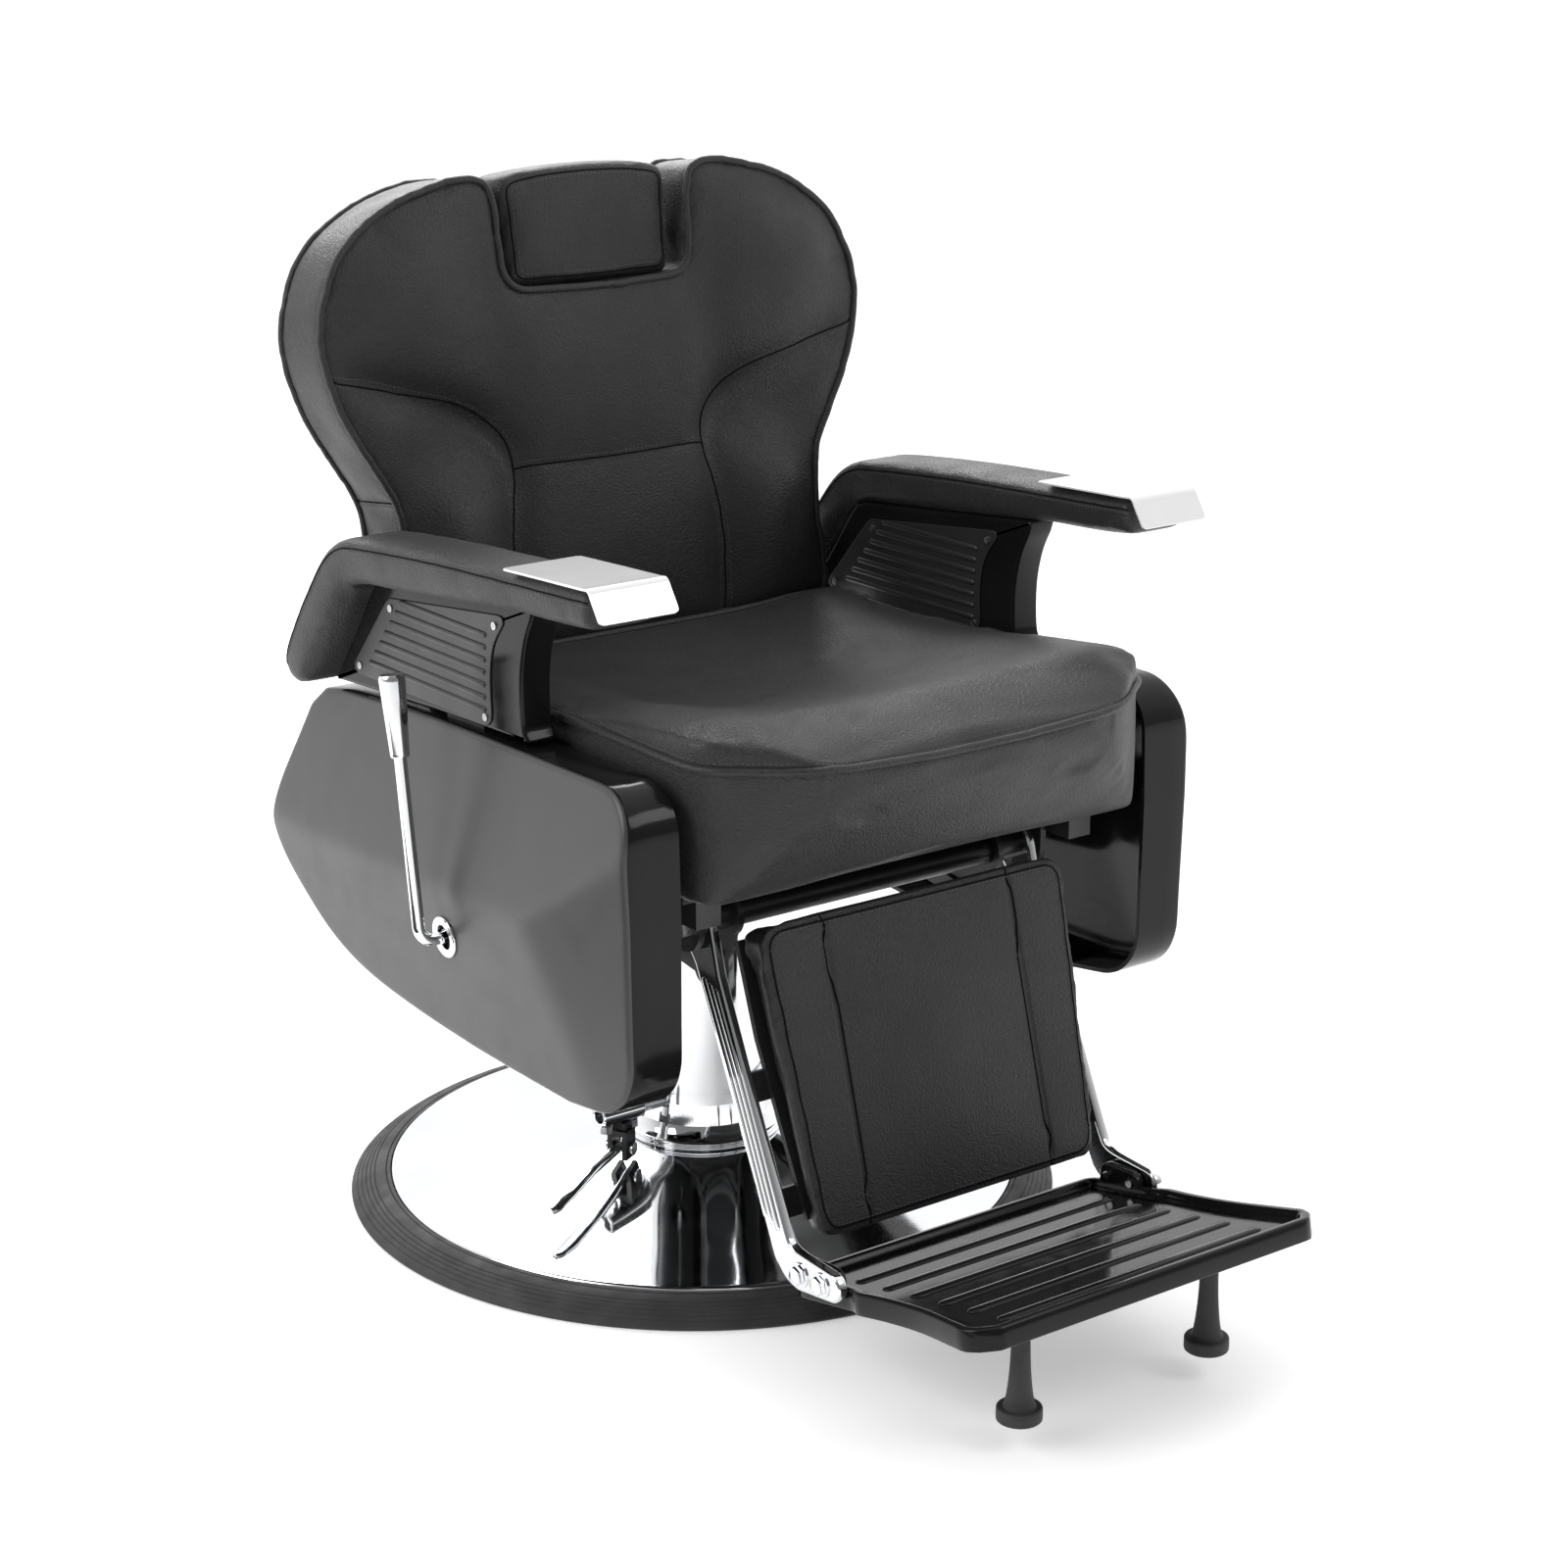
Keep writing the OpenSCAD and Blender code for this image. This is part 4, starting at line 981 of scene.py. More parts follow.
class CHAIR_OT_arm_pads(bpy.types.Operator):
    """Arm pads that turn down behind the elbow, with a stitched seam along both top edges"""

    bl_idname = "chair.arm_pads"
    bl_label = "Arm pads"

    def execute(self, context):
        sizes = context.scene.chair_sizes
        low, high = corners("arm_pad_right")
        outline = spaced(np.vstack([pad_top(), pad_under()]), 5, True)
        points, faces = prism(inset(outline, 2.2), low[0] + 2.5, high[0] - 2.5, 8, "x")
        upper = spaced(pad_top()[:-12] + [0, -2], 5)
        seam_yz = double(upper, 7.5, 1)
        if seam_yz[0, 1] > upper[0, 1]:
            seam_yz = double(upper, 7.5, -1)
        for side in (-1, 1):
            word = "right" if side > 0 else "left"
            part = points * [side, 1, 1], faces
            seams = [across(seam_yz, side * x) for x in (low[0], high[0])]
            obj = upholstered(f"arm_rest_{word}", part, leather(), seams, sizes.swell / MM * 0.6, groove=1.2)
            fitted(obj, "seat", "leather", f"arm_pad_{word}")
            row = double(seam_yz, 3.2, 1 if seam_yz[0, 1] > upper[0, 1] else -1)
            rows = [across(row, side * x) for x in (low[0] - 2, high[0] + 2)]
            stitched(f"arm_stitches_{word}", obj, rows, "seat")
            # painted shade along the arm pad's seams
            seam_shaded(f"arm_seam_shade_{word}", obj, seams, "seat")
        return {"FINISHED"}


class CHAIR_OT_arm_caps(bpy.types.Operator):
    """Bent chrome plates on the front of the arm pads"""

    bl_idname = "chair.arm_caps"
    bl_label = "Arm caps"

    def execute(self, context):
        low, high = corners("arm_cap_right")
        f = FRAME_Z
        line = np.vstack([[[-182, f + 297.5]], [[-240, f + 300.6]], [[-296, f + 303.4]],
                          arc([-304.5, f + 297], 7.2, 85, 160, 6)[1:], [[-325, f + 279]]])
        line = spaced(line, 2.0)
        along = np.gradient(line, axis=0)
        along /= np.linalg.norm(along, axis=1, keepdims=True)
        inward = np.stack([-along[:, 1], along[:, 0]], -1)
        if inward[0, 1] > 0:
            inward = -inward
        run = run_length(line)
        x = np.concatenate([[0, 0.5, 1.2, 2.2], np.linspace(4, high[0] - low[0] - 4, 12),
                            high[0] - low[0] - np.array([2.2, 1.2, 0.5, 0])])
        width = high[0] - low[0]
        corner = 4.0
        from_end = run[-1] - run
        shorten = np.where(from_end < corner,
                           corner - np.sqrt(np.maximum(corner**2 - (corner - from_end) ** 2, 0)), 0)
        shorten = np.maximum(shorten, np.where(run < corner, corner - np.sqrt(
            np.maximum(corner**2 - (corner - run) ** 2, 0)), 0))
        across_x = low[0] + shorten[:, None] + x[None] * ((width - 2 * shorten) / width)[:, None]
        front = np.stack([across_x, np.broadcast_to(line[:, :1], across_x.shape),
                          np.broadcast_to(line[:, 1:], across_x.shape)], -1)
        back = front + 1.8 * np.concatenate([np.zeros((len(line), 1)), inward], -1)[:, None]
        part = walled(front, back, np.ones((len(line) - 1, len(x) - 1), bool))
        for side in (-1, 1):
            word = "right" if side > 0 else "left"
            finish = material("cap", cap_plate)
            obj = made(f"arm_plate_{word}", (part[0] * [side, 1, 1], part[1]), finish, sharp=40)
            rounded = obj.modifiers.new("edge", "BEVEL")
            rounded.width = 0.5 * MM
            rounded.segments = 2
            rounded.limit_method = "ANGLE"
            rounded.angle_limit = math.radians(50)
            fitted(obj, "seat", "chrome", f"arm_cap_{word}")
        return {"FINISHED"}


def shell_outline():
    """Side outline of an arm shell in (y, z), under its pad."""
    f = FRAME_Z
    front = smooth_curve([[-164, f + 244], [-153, f + 222], [-146, f + 190], [-147, f + 150],
                          [-154, f + 137.5]], 6)
    return np.vstack([pad_under()[:6] - 0.6, [[-168, f + 256.6]], front, [[0, f + 132], [120, f + 125]]])


def insert_outline():
    """Outline of a ribbed insert in (y, z)."""
    f = FRAME_Z
    front = smooth_curve([[-100, f + 152], [-99, f + 182], [-105, f + 210], [-122, f + 233]], 6)
    return np.vstack([[[66, f + 218], [74, f + 212], [133, f + 146], [133, f + 140], [127, f + 137]],
                      [[-92, f + 138], [-99, f + 144]], front, [[-120, f + 239], [-112, f + 239]]])


def insert_part(face, out):
    """Insert plate with seven rounded ribs, on the shell's face at x = face, growing along out."""
    plate = prism(spaced(insert_outline(), 4, True), 0, 1.5, 0.7, "x")
    parts = [(plate[0] * [out, 1, 1] + [face, 0, 0], plate[1])]
    for i in range(7):
        z = FRAME_Z + 152 + 11 * i
        ends = [-89 - 1.2 * max(0, i - 3), 102 - 9.5 * i]
        line = np.array([[face + out * 1.4, y, z] for y in np.linspace(*ends, 12)])
        parts.append(tube(line, 2.7, up=(1, 0, 0), sides=14, tall=0.62))
    return joined(*parts)


class CHAIR_OT_arm_shells(bpy.types.Operator):
    """Gloss arm shells under the pads and their ribbed inserts on both faces"""

    bl_idname = "chair.arm_shells"
    bl_label = "Arm shells"

    def execute(self, context):
        tone = context.scene.chair_colours.insert_tone
        finish = material("insert", lambda: satin_plastic("insert_plastic", tone, 0.36))
        outline = spaced(shell_outline(), 4, True)
        for side in (-1, 1):
            word = "right" if side > 0 else "left"
            points, faces = prism(outline, SHELL_IN, SHELL_OUT, 3.2, "x")
            obj = made(f"arm_side_{word}", (points * [side, 1, 1], faces), gloss(), sharp=50)
            fitted(obj, "seat", "gloss_black", f"arm_shell_{word}")
        plates = [insert_part(SHELL_OUT, 1), insert_part(SHELL_IN, -1)]
        both = joined(*plates, *[mirror_x(p) for p in plates])
        fitted(made("ribbed_inserts", both, finish, sharp=40), "seat", "insert_plastic", "arm_inserts")
        return {"FINISHED"}


# ---------- side panels and lever ----------

def panel_outline():
    """Outline of a side panel in (y, z)."""
    f = FRAME_Z
    top = smooth_curve([[200, f + 106], [140, f + 116], [0, f + 125.5], [-140, f + 131], [-270, f + 136]])
    front = smooth_curve([[-331, f + 30], [-330, f - 60]], 4)
    low = smooth_curve([[-240, f - 152], [-100, f - 153.5], [20, f - 150], [110, f - 141], [172, f - 122],
                        [222, f - 90], [254, f - 60], [268, f - 28], [262, f + 5], [238, f + 55],
                        [222, f + 88]])
    return np.vstack([top, arc([-285, f + 92], 44, 90, 180, 10), front,
                      arc([-274, f - 90], 56, 180, 262, 10), low])


def soft_min(values, width):
    """Smooth least value: -width log(sum(exp(-v / width)))."""
    low = values.min(0)
    return low - width * np.log(np.sum(np.exp(-(values - low) / width), axis=0))


def panel_face(yz, peak):
    """x of the outer face at (y, z): the soft least of three planes that meet at the apex; each plane goes
    through the apex and two of the ridge ends, which lie on the rim."""
    f = FRAME_Z
    ends = np.array([[270, f - 30], [-328, f + 91], [-285, f - 146]], float)
    apex = np.append(PANEL_APEX, peak)
    planes = []
    for i in range(3):
        a, b = np.append(ends[i], 0), np.append(ends[(i + 1) % 3], 0)
        n = np.cross(a - apex, b - apex)
        planes.append(peak - (n[0] * (yz[..., 0] - apex[0]) + n[1] * (yz[..., 1] - apex[1])) / n[2])
    return RIM_X + soft_min(np.array(planes), 1.1)


def side_panel(peak, side):
    """One panel: rings of its outline go out along the rim wall, round the edge and in to the apex on the
    faceted face, and the same rings offset by the wall make the inside."""
    outline = spaced(panel_outline(), 6, True)
    wall = 4.0
    edge = 6.0
    n = len(outline)
    middle = np.broadcast_to(PANEL_APEX, outline.shape)
    shares = np.concatenate([[0.0], np.linspace(0, 1, 30)[1:] ** 1.1])

    def rings(drawn, sink):
        rim = inset(outline, drawn)
        top = panel_face(inset(outline, drawn + edge), peak) - sink
        rows = [across(rim, x) for x in (PANEL_IN, PANEL_IN + 1)]
        rows += [np.column_stack([PANEL_IN + 1 + (top - edge - PANEL_IN - 1) * t, rim])
                 for t in (0.3, 0.65, 1.0)]
        for a in np.radians([22, 45, 68, 90]):
            ring = inset(outline, drawn + edge * (1 - math.cos(a)))
            rows.append(np.column_stack([top - edge * (1 - math.sin(a)), ring]))
        start = inset(outline, drawn + edge)
        for t in shares[1:]:
            yz = start + (middle - start) * t * 0.999
            rows.append(np.column_stack([panel_face(yz, peak) - sink, yz]))
        return np.stack(rows)

    front, back = rings(0.0, 0.0), rings(wall, wall)
    keep = np.ones((len(front) - 1, n), bool)
    if side < 0:
        mid = (front[:-1] + front[1:]) / 2
        lever = joint_place("lever_pull")
        mid = (mid + np.roll(mid, -1, 1)) / 2
        keep = np.hypot(mid[..., 1] - lever[1], mid[..., 2] - lever[2]) > 15
    points, faces = walled(front, back, keep, True)
    return points * [side, 1, 1], faces


class CHAIR_OT_side_panels(bpy.types.Operator):
    """Moulded side panels: a rim wall and three shallow facets that meet in a low peak"""

    bl_idname = "chair.side_panels"
    bl_label = "Side panels"

    def execute(self, context):
        colours = context.scene.chair_colours
        peak = context.scene.chair_sizes.panel_peak / MM
        satin = material("panel", lambda: satin_plastic("panel_plastic", colours.panel_tone, 0.33, 0.00003))
        for side in (-1, 1):
            word = "right" if side > 0 else "left"
            obj = made(f"side_cover_{word}", side_panel(peak, side), satin, sharp=60)
            obj.data.materials.append(gloss())
            centre = np.empty(len(obj.data.polygons) * 3)
            obj.data.polygons.foreach_get("center", centre)
            normal = np.empty(len(obj.data.polygons) * 3)
            obj.data.polygons.foreach_get("normal", normal)
            outward = normal.reshape(-1, 3)[:, 0] * side
            inner = (outward < 0.35) | (np.abs(centre.reshape(-1, 3)[:, 0]) / MM < RIM_X - 26)
            obj.data.polygons.foreach_set("material_index", inner.astype(np.int32))
            fitted(obj, "seat", "panel_plastic", f"side_panel_{word}")
        return {"FINISHED"}


class CHAIR_OT_lever(bpy.types.Operator):
    """Recline lever on the left: rod with its boss and tail, and a tapered knob"""

    bl_idname = "chair.lever"
    bl_label = "Recline lever"

    def execute(self, context):
        pivot = joint_place("lever_pull")
        knob_low, knob_high = corners("lever_knob")
        reach = -(knob_low[0] + knob_high[0]) / 2
        inner = corners("recline_lever")[1][0]
        lean = math.radians(8)
        along = np.array([0, math.sin(lean), math.cos(lean)])
        start = np.array([-reach, pivot[1], pivot[2]])
        bend = arc([0, 0], 14, 180, 270, 10)
        corner = (start + np.column_stack([bend[:, 0] + 14, np.zeros((11, 2))])
                  + np.outer(bend[:, 1] + 14, along))
        top = start + 163 * along
        path = np.vstack([spaced([top, corner[0]], 20), corner[1:],
                          spaced([corner[-1], [inner, pivot[1], pivot[2]]], 20)[1:]])
        rod = tube(path, 5.5, up=(0.02, 1, 0.01), sides=24, ends=False)
        plate_x = corners("lever_bush")[1][0] + 2
        boss = moved(lathe([[0, 0], [11.5, 0], [12, 0.5], [12, 6.5], [11.5, 7], [0, 7]], 48),
                     (plate_x, pivot[1], pivot[2]), "x")
        tail = prism(np.array([[-4, -34], [4, -34], [9, 0], [-9, 0]], float) + [pivot[1], pivot[2]],
                     plate_x, plate_x + 7, 0.8, "x")
        fitted(made("lever_rod", joined(rod, boss, tail), bright(), sharp=50), "lever", "chrome",
               "recline_lever")
        profile = np.array([[0, 0], [7.6, 0], [8.2, 0.7], [8.4, 3], [11.4, 66], [11.3, 69.5],
                            [10.3, 71.2], [0, 71.5]])
        knob, faces = lathe(profile, 48)
        side = np.array([0, math.cos(lean), -math.sin(lean)])
        knob = top + knob[:, :1] * [1, 0, 0] + knob[:, 1:2] * side + knob[:, 2:] * along
        fitted(made("lever_grip", (knob, faces), material("satin", lambda: chrome("satin_chrome", 0.12)), 40),
               "lever", "chrome", "lever_knob")
        return {"FINISHED"}


class CHAIR_OT_lever_ring(bpy.types.Operator):
    """Chrome grommet that lines the lever's hole in the left panel"""

    bl_idname = "chair.lever_ring"
    bl_label = "Lever ring"

    def execute(self, context):
        pivot = joint_place("lever_pull")
        peak = context.scene.chair_sizes.panel_peak / MM
        step = 12.0
        spots = pivot[1:] + np.array([[0, 0], [step, 0], [0, step]])
        x, x_y, x_z = panel_face(spots, peak)
        normal = np.array([-1, -(x_y - x) / step, -(x_z - x) / step])
        normal /= np.linalg.norm(normal)
        side = np.cross(normal, [0, 0, 1.0])
        side /= np.linalg.norm(side)
        over = np.cross(side, normal)
        profile = np.vstack([arc([17.2, 1.0], 1.8, -60, 100, 6), arc([12.8, 1.0], 1.9, 90, 190, 6),
                             [[11.2, -5], [11.2, -12], [14.5, -12], [14.5, -1.2]]])
        points, faces = lathe(profile, 64, loop=True)
        points = points[:, :1] * side + points[:, 1:2] * over + points[:, 2:] * normal
        points += [-x, pivot[1], pivot[2]]
        fitted(made("lever_grommet", (points, faces), bright(), sharp=45), "seat", "chrome", "lever_ring")
        return {"FINISHED"}


# ---------- base, column and pedal ----------

class CHAIR_OT_base(bpy.types.Operator):
    """Grooved rubber ring and the chrome dish"""

    bl_idname = "chair.base"
    bl_label = "Base"

    def execute(self, context):
        t = np.linspace(0, 1, 110)
        r = RING_R - (RING_R - DISH_R - 1) * t
        z = 3 + 17.5 * np.sin(t * np.pi / 2) ** 0.9
        for centre in (0.16, 0.27, 0.38, 0.49, 0.60, 0.90):
            z = z - 1.1 * np.exp(-((t - centre) / 0.014) ** 2)
        section = np.vstack([[[DISH_R - 12, 0], [RING_R - 2, 0], [RING_R - 0.5, 1]], np.column_stack([r, z]),
                             [[DISH_R + 0.3, 17], [DISH_R - 12, 17]]])
        ring = made("floor_ring", lathe(section, 192, loop=True), material("rubber", rubber), sharp=50)
        fitted(ring, "base", "rubber", "base_ring")
        edge = arc([DISH_R - 3.5, 19], 3.5, -20, 80, 6)
        top = smooth_curve([[DISH_R - 3, 22.4], [DISH_R - 60, 27], [DISH_R - 147, 37.2], [DISH_R - 192, 46],
                            [DISH_R - 221, 54]], 10)
        under = (top[::-1] - [0, 3])[2:-4]
        section = np.vstack([edge, top[1:], [[66, 55], [66, 51.5]], under, [[DISH_R - 8, 17.3]]])
        dish = made("chrome_dish", lathe(section, 192, loop=True), bright(), sharp=50)
        fitted(dish, "base", "chrome", "base_dish")
        return {"FINISHED"}


class CHAIR_OT_column(bpy.types.Operator):
    """Chrome cover of the pump, with the flared foot that stands on the dish"""

    bl_idname = "chair.column"
    bl_label = "Column cover"

    def execute(self, context):
        r = 62.0
        h = COLUMN_H
        flare = smooth_curve([[r + 12, 63.5], [r + 7.5, 69], [r + 3, 80], [r + 0.8, 98], [r, 122]], 6)
        section = np.vstack([[[r + 13, 55]], arc([r + 12.2, 57.5], 1.8, -60, 90, 5),
                             arc([r + 12, 61.5], 1.9, -80, 80, 5),
                             flare, [[r, 200], [r, h - 5]], arc([r - 4, h - 4], 4, 0, 90, 4),
                             [[33, h], [33, h - 2], [r - 4, h - 2], [r - 2, h - 5], [r - 2, 115],
                              [r + 5, 70], [r + 9, 55]]])
        obj = made("column_sleeve", lathe(section, 128, loop=True), bright(), sharp=50)
        fitted(obj, "base", "chrome", "column_cover")
        return {"FINISHED"}


def clevis_frame(p):
    """From the foot bar's own frame to the chair's."""
    place = joint_place("foot_bar_fold")
    a = math.radians(28)
    p = np.asarray(p, float)
    return np.stack([math.cos(a) * p[..., 0] - math.sin(a) * p[..., 1],
                     math.sin(a) * p[..., 0] + math.cos(a) * p[..., 1], p[..., 2]], -1) + place


class CHAIR_OT_pedal(bpy.types.Operator):
    """Clamp tube on the pump shaft and the tapered foot bar"""

    bl_idname = "chair.pedal"
    bl_label = "Pedal"

    def execute(self, context):
        low, high = corners("pedal_tube")
        place = joint_place("pump_pedal")
        length = high[0] - low[0]
        section = [[7.2, 0.6], [8.2, 0], [10, 0], [11, 1], [11, length - 1], [10, length], [8.2, length],
                   [7.2, length - 0.6]]
        part = moved(lathe(section, 64, loop=True), (low[0], place[1], place[2]), "x")
        fitted(made("clamp_tube", part, bright(), sharp=40), "pedal", "chrome", "pedal_tube")
        t = np.linspace(0, 1, 26)
        x = 8 - 141 * t
        z = np.interp(x, [-133, -110, -60, -14, 8], [-12.5, -7.5, -2, 0.5, 0.5])
        wide = np.interp(x, [-133, -128, -104, -60, -12, 8], [3.0, 7.0, 8.5, 6.0, 4.2, 4.0])
        tall = np.interp(x, [-133, -110, -60, -14, 8], [3.0, 4.4, 4.4, 5.5, 5.5])
        path = clevis_frame(np.column_stack([x, 0 * x, z]))
        bar = tube(path, 1.0, up=(0, 0, 1), sides=28, wide=wide, tall=tall)
        fitted(made("foot_lever", bar, bright(), sharp=60), "foot_bar", "chrome", "foot_bar")
        return {"FINISHED"}


# ---------- footrest ----------

def calf_outline(w=0.0):
    """Outline of the calf pad in (x, distance down), drawn in by w, with round corners."""
    top, low = BAR_IN - 3 - w, BAR_IN - 15 - w
    length = np.linalg.norm(CALF_LOW - CALF_TOP)
    r = 17.0
    right = np.vstack([arc([low - r, length + 13 - w - r], r, 90, 0, 5),
                       arc([top - r, -9 + w + r], r, 0, -90, 5)])
    return np.vstack([right, (right * [-1, 1])[::-1]])


def calf_line(path, depth=0.0):
    """(x, distance down) points on the calf pad's face, in the chair's frame."""
    p = np.asarray(path, float)
    return on_calf(np.stack([p[:, 0], np.full(len(p), depth), p[:, 1]], -1))


class CHAIR_OT_calf_pad(bpy.types.Operator):
    """Calf pad with a border seam and two seams down its face"""

    bl_idname = "chair.calf_pad"
    bl_label = "Calf pad"

    def execute(self, context):
        sizes = context.scene.chair_sizes
        length = np.linalg.norm(CALF_LOW - CALF_TOP)
        outline = spaced(calf_outline(1.0), 5, True)
        points, faces = prism(outline, 0, 1, 0.2, "y")
        thick = 40 - 12 * np.clip(points[:, 2] / length, 0, 1)
        points[:, 1] = 1.5 + points[:, 1] * (thick - 2.0)
        down = [np.array([[s * 101, -7.0], [s * 101, length + 9]]) for s in (-1, 1)]
        border = np.vstack([calf_outline(6), calf_outline(6)[:1]])
        seams = [calf_line(spaced(s, 6), 1.5) for s in down] + [calf_line(border, 1.5)]
        obj = upholstered("calf_rest_pad", (on_calf(points), faces), leather(), seams, sizes.swell / MM * 1.1)
        fitted(obj, "footrest", "leather", "calf_pad")
        rows = [spaced(s + [3.2 * np.sign(s[0, 0]), 0], 6) for s in down]
        rows.append(np.vstack([calf_outline(10), calf_outline(10)[:1]]))
        stitched("calf_stitches", obj, [calf_line(r, -5) for r in rows], "footrest")
        # painted shade along the calf pad's seams
        seam_shaded("calf_seam_shade", obj, [calf_line(spaced(r, 6), -5) for r in down + [border]], "footrest")
        return {"FINISHED"}


def bar_outline():
    """Side outline of a footrest bar: head at the pivot, long leg, knee and bracket."""
    p = joint_place("footrest_swing")[1:]
    front = smooth_curve([[-345, 190], [-374, 130], [-384, 118], [-404, 115.5]], 6)
    rear = smooth_curve([[-392, 82], [-376, 86], [-362, 98], [-350, 122]], 6)
    return np.vstack([arc(p, 24, -20, 170, 16), [[p[0] - 36, p[1] - 40]], front,
                      arc([-436, 101], 13, 90, 250, 10), rear, [[-318, 184], [p[0] - 2, p[1] - 36]]])


def hex_bolt(place, size, height, washer):
    """Hexagon head with a domed top on a washer, along X: the head is a prism with a rounded edge and the
    dome a low lathe."""
    a = np.radians(np.arange(6) * 60 + 17)
    hexagon = size * np.stack([np.cos(a), np.sin(a)], -1)
    head = prism(hexagon, 1.4, height, 0.9, "x", 3)
    dome = moved(lathe([[0, height + 0.5], [size * 0.55, height + 0.35], [size * 0.8, height - 0.3],
                        [0, height - 0.4]], 24),
                 axis="x")
    plain = moved(lathe([[0, 0], [washer - 0.4, 0], [washer, 0.4], [washer, 1.1], [washer - 0.4, 1.5],
                         [0, 1.5]], 36),
                  axis="x")
    part = joined(plain, head, dome)
    return part[0] + np.asarray(place, float), part[1]


class CHAIR_OT_footrest_bars(bpy.types.Operator):
    """Chrome footrest bars with three raised ribs, and their bolts"""

    bl_idname = "chair.footrest_bars"
    bl_label = "Footrest bars"

    def execute(self, context):
        p = joint_place("footrest_swing")[1:]
        thick = 10.0
        outer = BAR_IN + thick
        outline = spaced(bar_outline(), 3.5, True)
        bolts = [[-396, 98], [-425, 100]]
        for side in (-1, 1):
            word = "right" if side > 0 else "left"
            parts = [prism(outline, BAR_IN, outer, 2.6, "x")]
            for s in (-1, 0, 1):
                ends = np.array([[p[0] - 25 + 8.4 * s, p[1] - 50 + 3 * s], [-357 + 8.4 * s, 132 + 3 * s]])
                line = spaced(ends, 12)
                bow = 1.5 * np.sin(np.linspace(0, np.pi, len(line)))
                line = line + np.outer(bow, [-0.95, 0.3])
                parts.append(tube(across(line, outer - 0.2), 2.9, up=(1, 0, 0), sides=14, tall=0.75))
            obj = made(f"footrest_leg_{word}", joined(*[(q * [side, 1, 1], f) for q, f in parts]),
                       bright(), sharp=50)
            fitted(obj, "footrest", "chrome", f"footrest_bar_{word}")
        heads = [hex_bolt((outer, *q), 8.4, 7.2, 11) for q in bolts]
        shanks = [moved(lathe([[0, 0], [4, 0], [4, thick + 11], [0, thick + 11]], 20), (BAR_IN - 11, *q), "x")
                  for q in bolts]
        parts = heads + shanks
        both = joined(*parts, *[mirror_x(part) for part in parts])
        fitted(made("bracket_bolts", both, bright(), sharp=35), "footrest", "chrome", "footplate_bolts")
        return {"FINISHED"}


def plate_half(w=0.0):
    """Right half of the footplate's outline in its own (x, forwards), drawn in by w."""
    h = BAR_IN - w
    front = smooth_curve([[h + 5, 98], [h + 3, 135], [h + 5, 180], [h + 13, 228], [h + 17, 250 - w]], 6)
    return np.vstack([[[h - 12, w], [h - 4, 4 + w], [h - 1, 12], [h - 0.5, 36], [h - 0.5, 85]], front,
                      [[h + 12, 262 - w], [h - 2, 274 - w]]])


class CHAIR_OT_footplate(bpy.types.Operator):
    """Gloss footplate: a tray with a rounded rim, a sunk floor, six ribs across and lugs for the bolts"""

    bl_idname = "chair.footplate"
    bl_label = "Footplate"

    def execute(self, context):
        rim_h = 19.0

        def level(w, z):
            ring = mirrored(plate_half(0.0))
            ring = spaced(ring, 6, True)
            return np.column_stack([inset(ring, w), np.full(len(ring), z)])

        levels = [(1.5, -rim_h), (0.6, -rim_h + 0.3), (0.0, -rim_h + 1.2), (0.0, -2.6), (0.5, -1.1),
                  (1.6, -0.2),
                  (3.0, 0.0), (6.4, 0.0), (7.6, -0.3), (8.6, -1.4), (9.6, -3.8), (10.6, -6.0), (12.0, -6.8),
                  (14.0, -7.0), (17.0, -7.0)]
        under = [(17.0, -11.0), (12.8, -11.0), (10.0, -11.3), (8.9, -12.2), (8.6, -rim_h + 0.6),
                 (8.0, -rim_h)]
        rings = [level(w, z) for w, z in levels]
        lower = [level(w, z) for w, z in under]
        n = len(rings[0])
        count = len(rings) + len(lower)
        points = np.vstack(rings + lower)
        faces = list(quads(len(rings), n, False, True))
        faces += [tuple(range((len(rings) - 1) * n, len(rings) * n))]
        faces += [tuple(f + len(rings) * n) for f in quads(len(lower), n, False, True)]
        faces += [tuple(range(len(rings) * n, (len(rings) + 1) * n))]
        last = (count - 1) * n
        faces += [(i, (i + 1) % n, last + (i + 1) % n, last + i) for i in range(n)]
        parts = [(points, faces)]
        for i in range(6):
            y = 56 + 37 * i
            reach = BAR_IN - 34
            line = np.array([[x, y, -7.4] for x in np.linspace(-reach, reach, 30)])
            parts.append(tube(line, 6.2, up=(0, 0, 1), sides=16, tall=0.42))
        tray = joined(*parts)
        lugs = []
        for side in (-1, 1):
            a = np.vstack([arc([-396, 98], 10.5, 90, 10, 6), [[-385.5, 80], [-435.5, 88]],
                           arc([-425, 100], 10.5, 190, 90, 6)])
            lug = prism(a, BAR_IN - 9, BAR_IN - 1.2, 1.2, "x", 3)
            lugs.append((lug[0] * [side, 1, 1], lug[1]))
        obj = made("foot_tray", joined((on_plate(tray[0]), tray[1]), *lugs), gloss(), sharp=50)
        fitted(obj, "footrest", "gloss_black", "footplate")
        return {"FINISHED"}


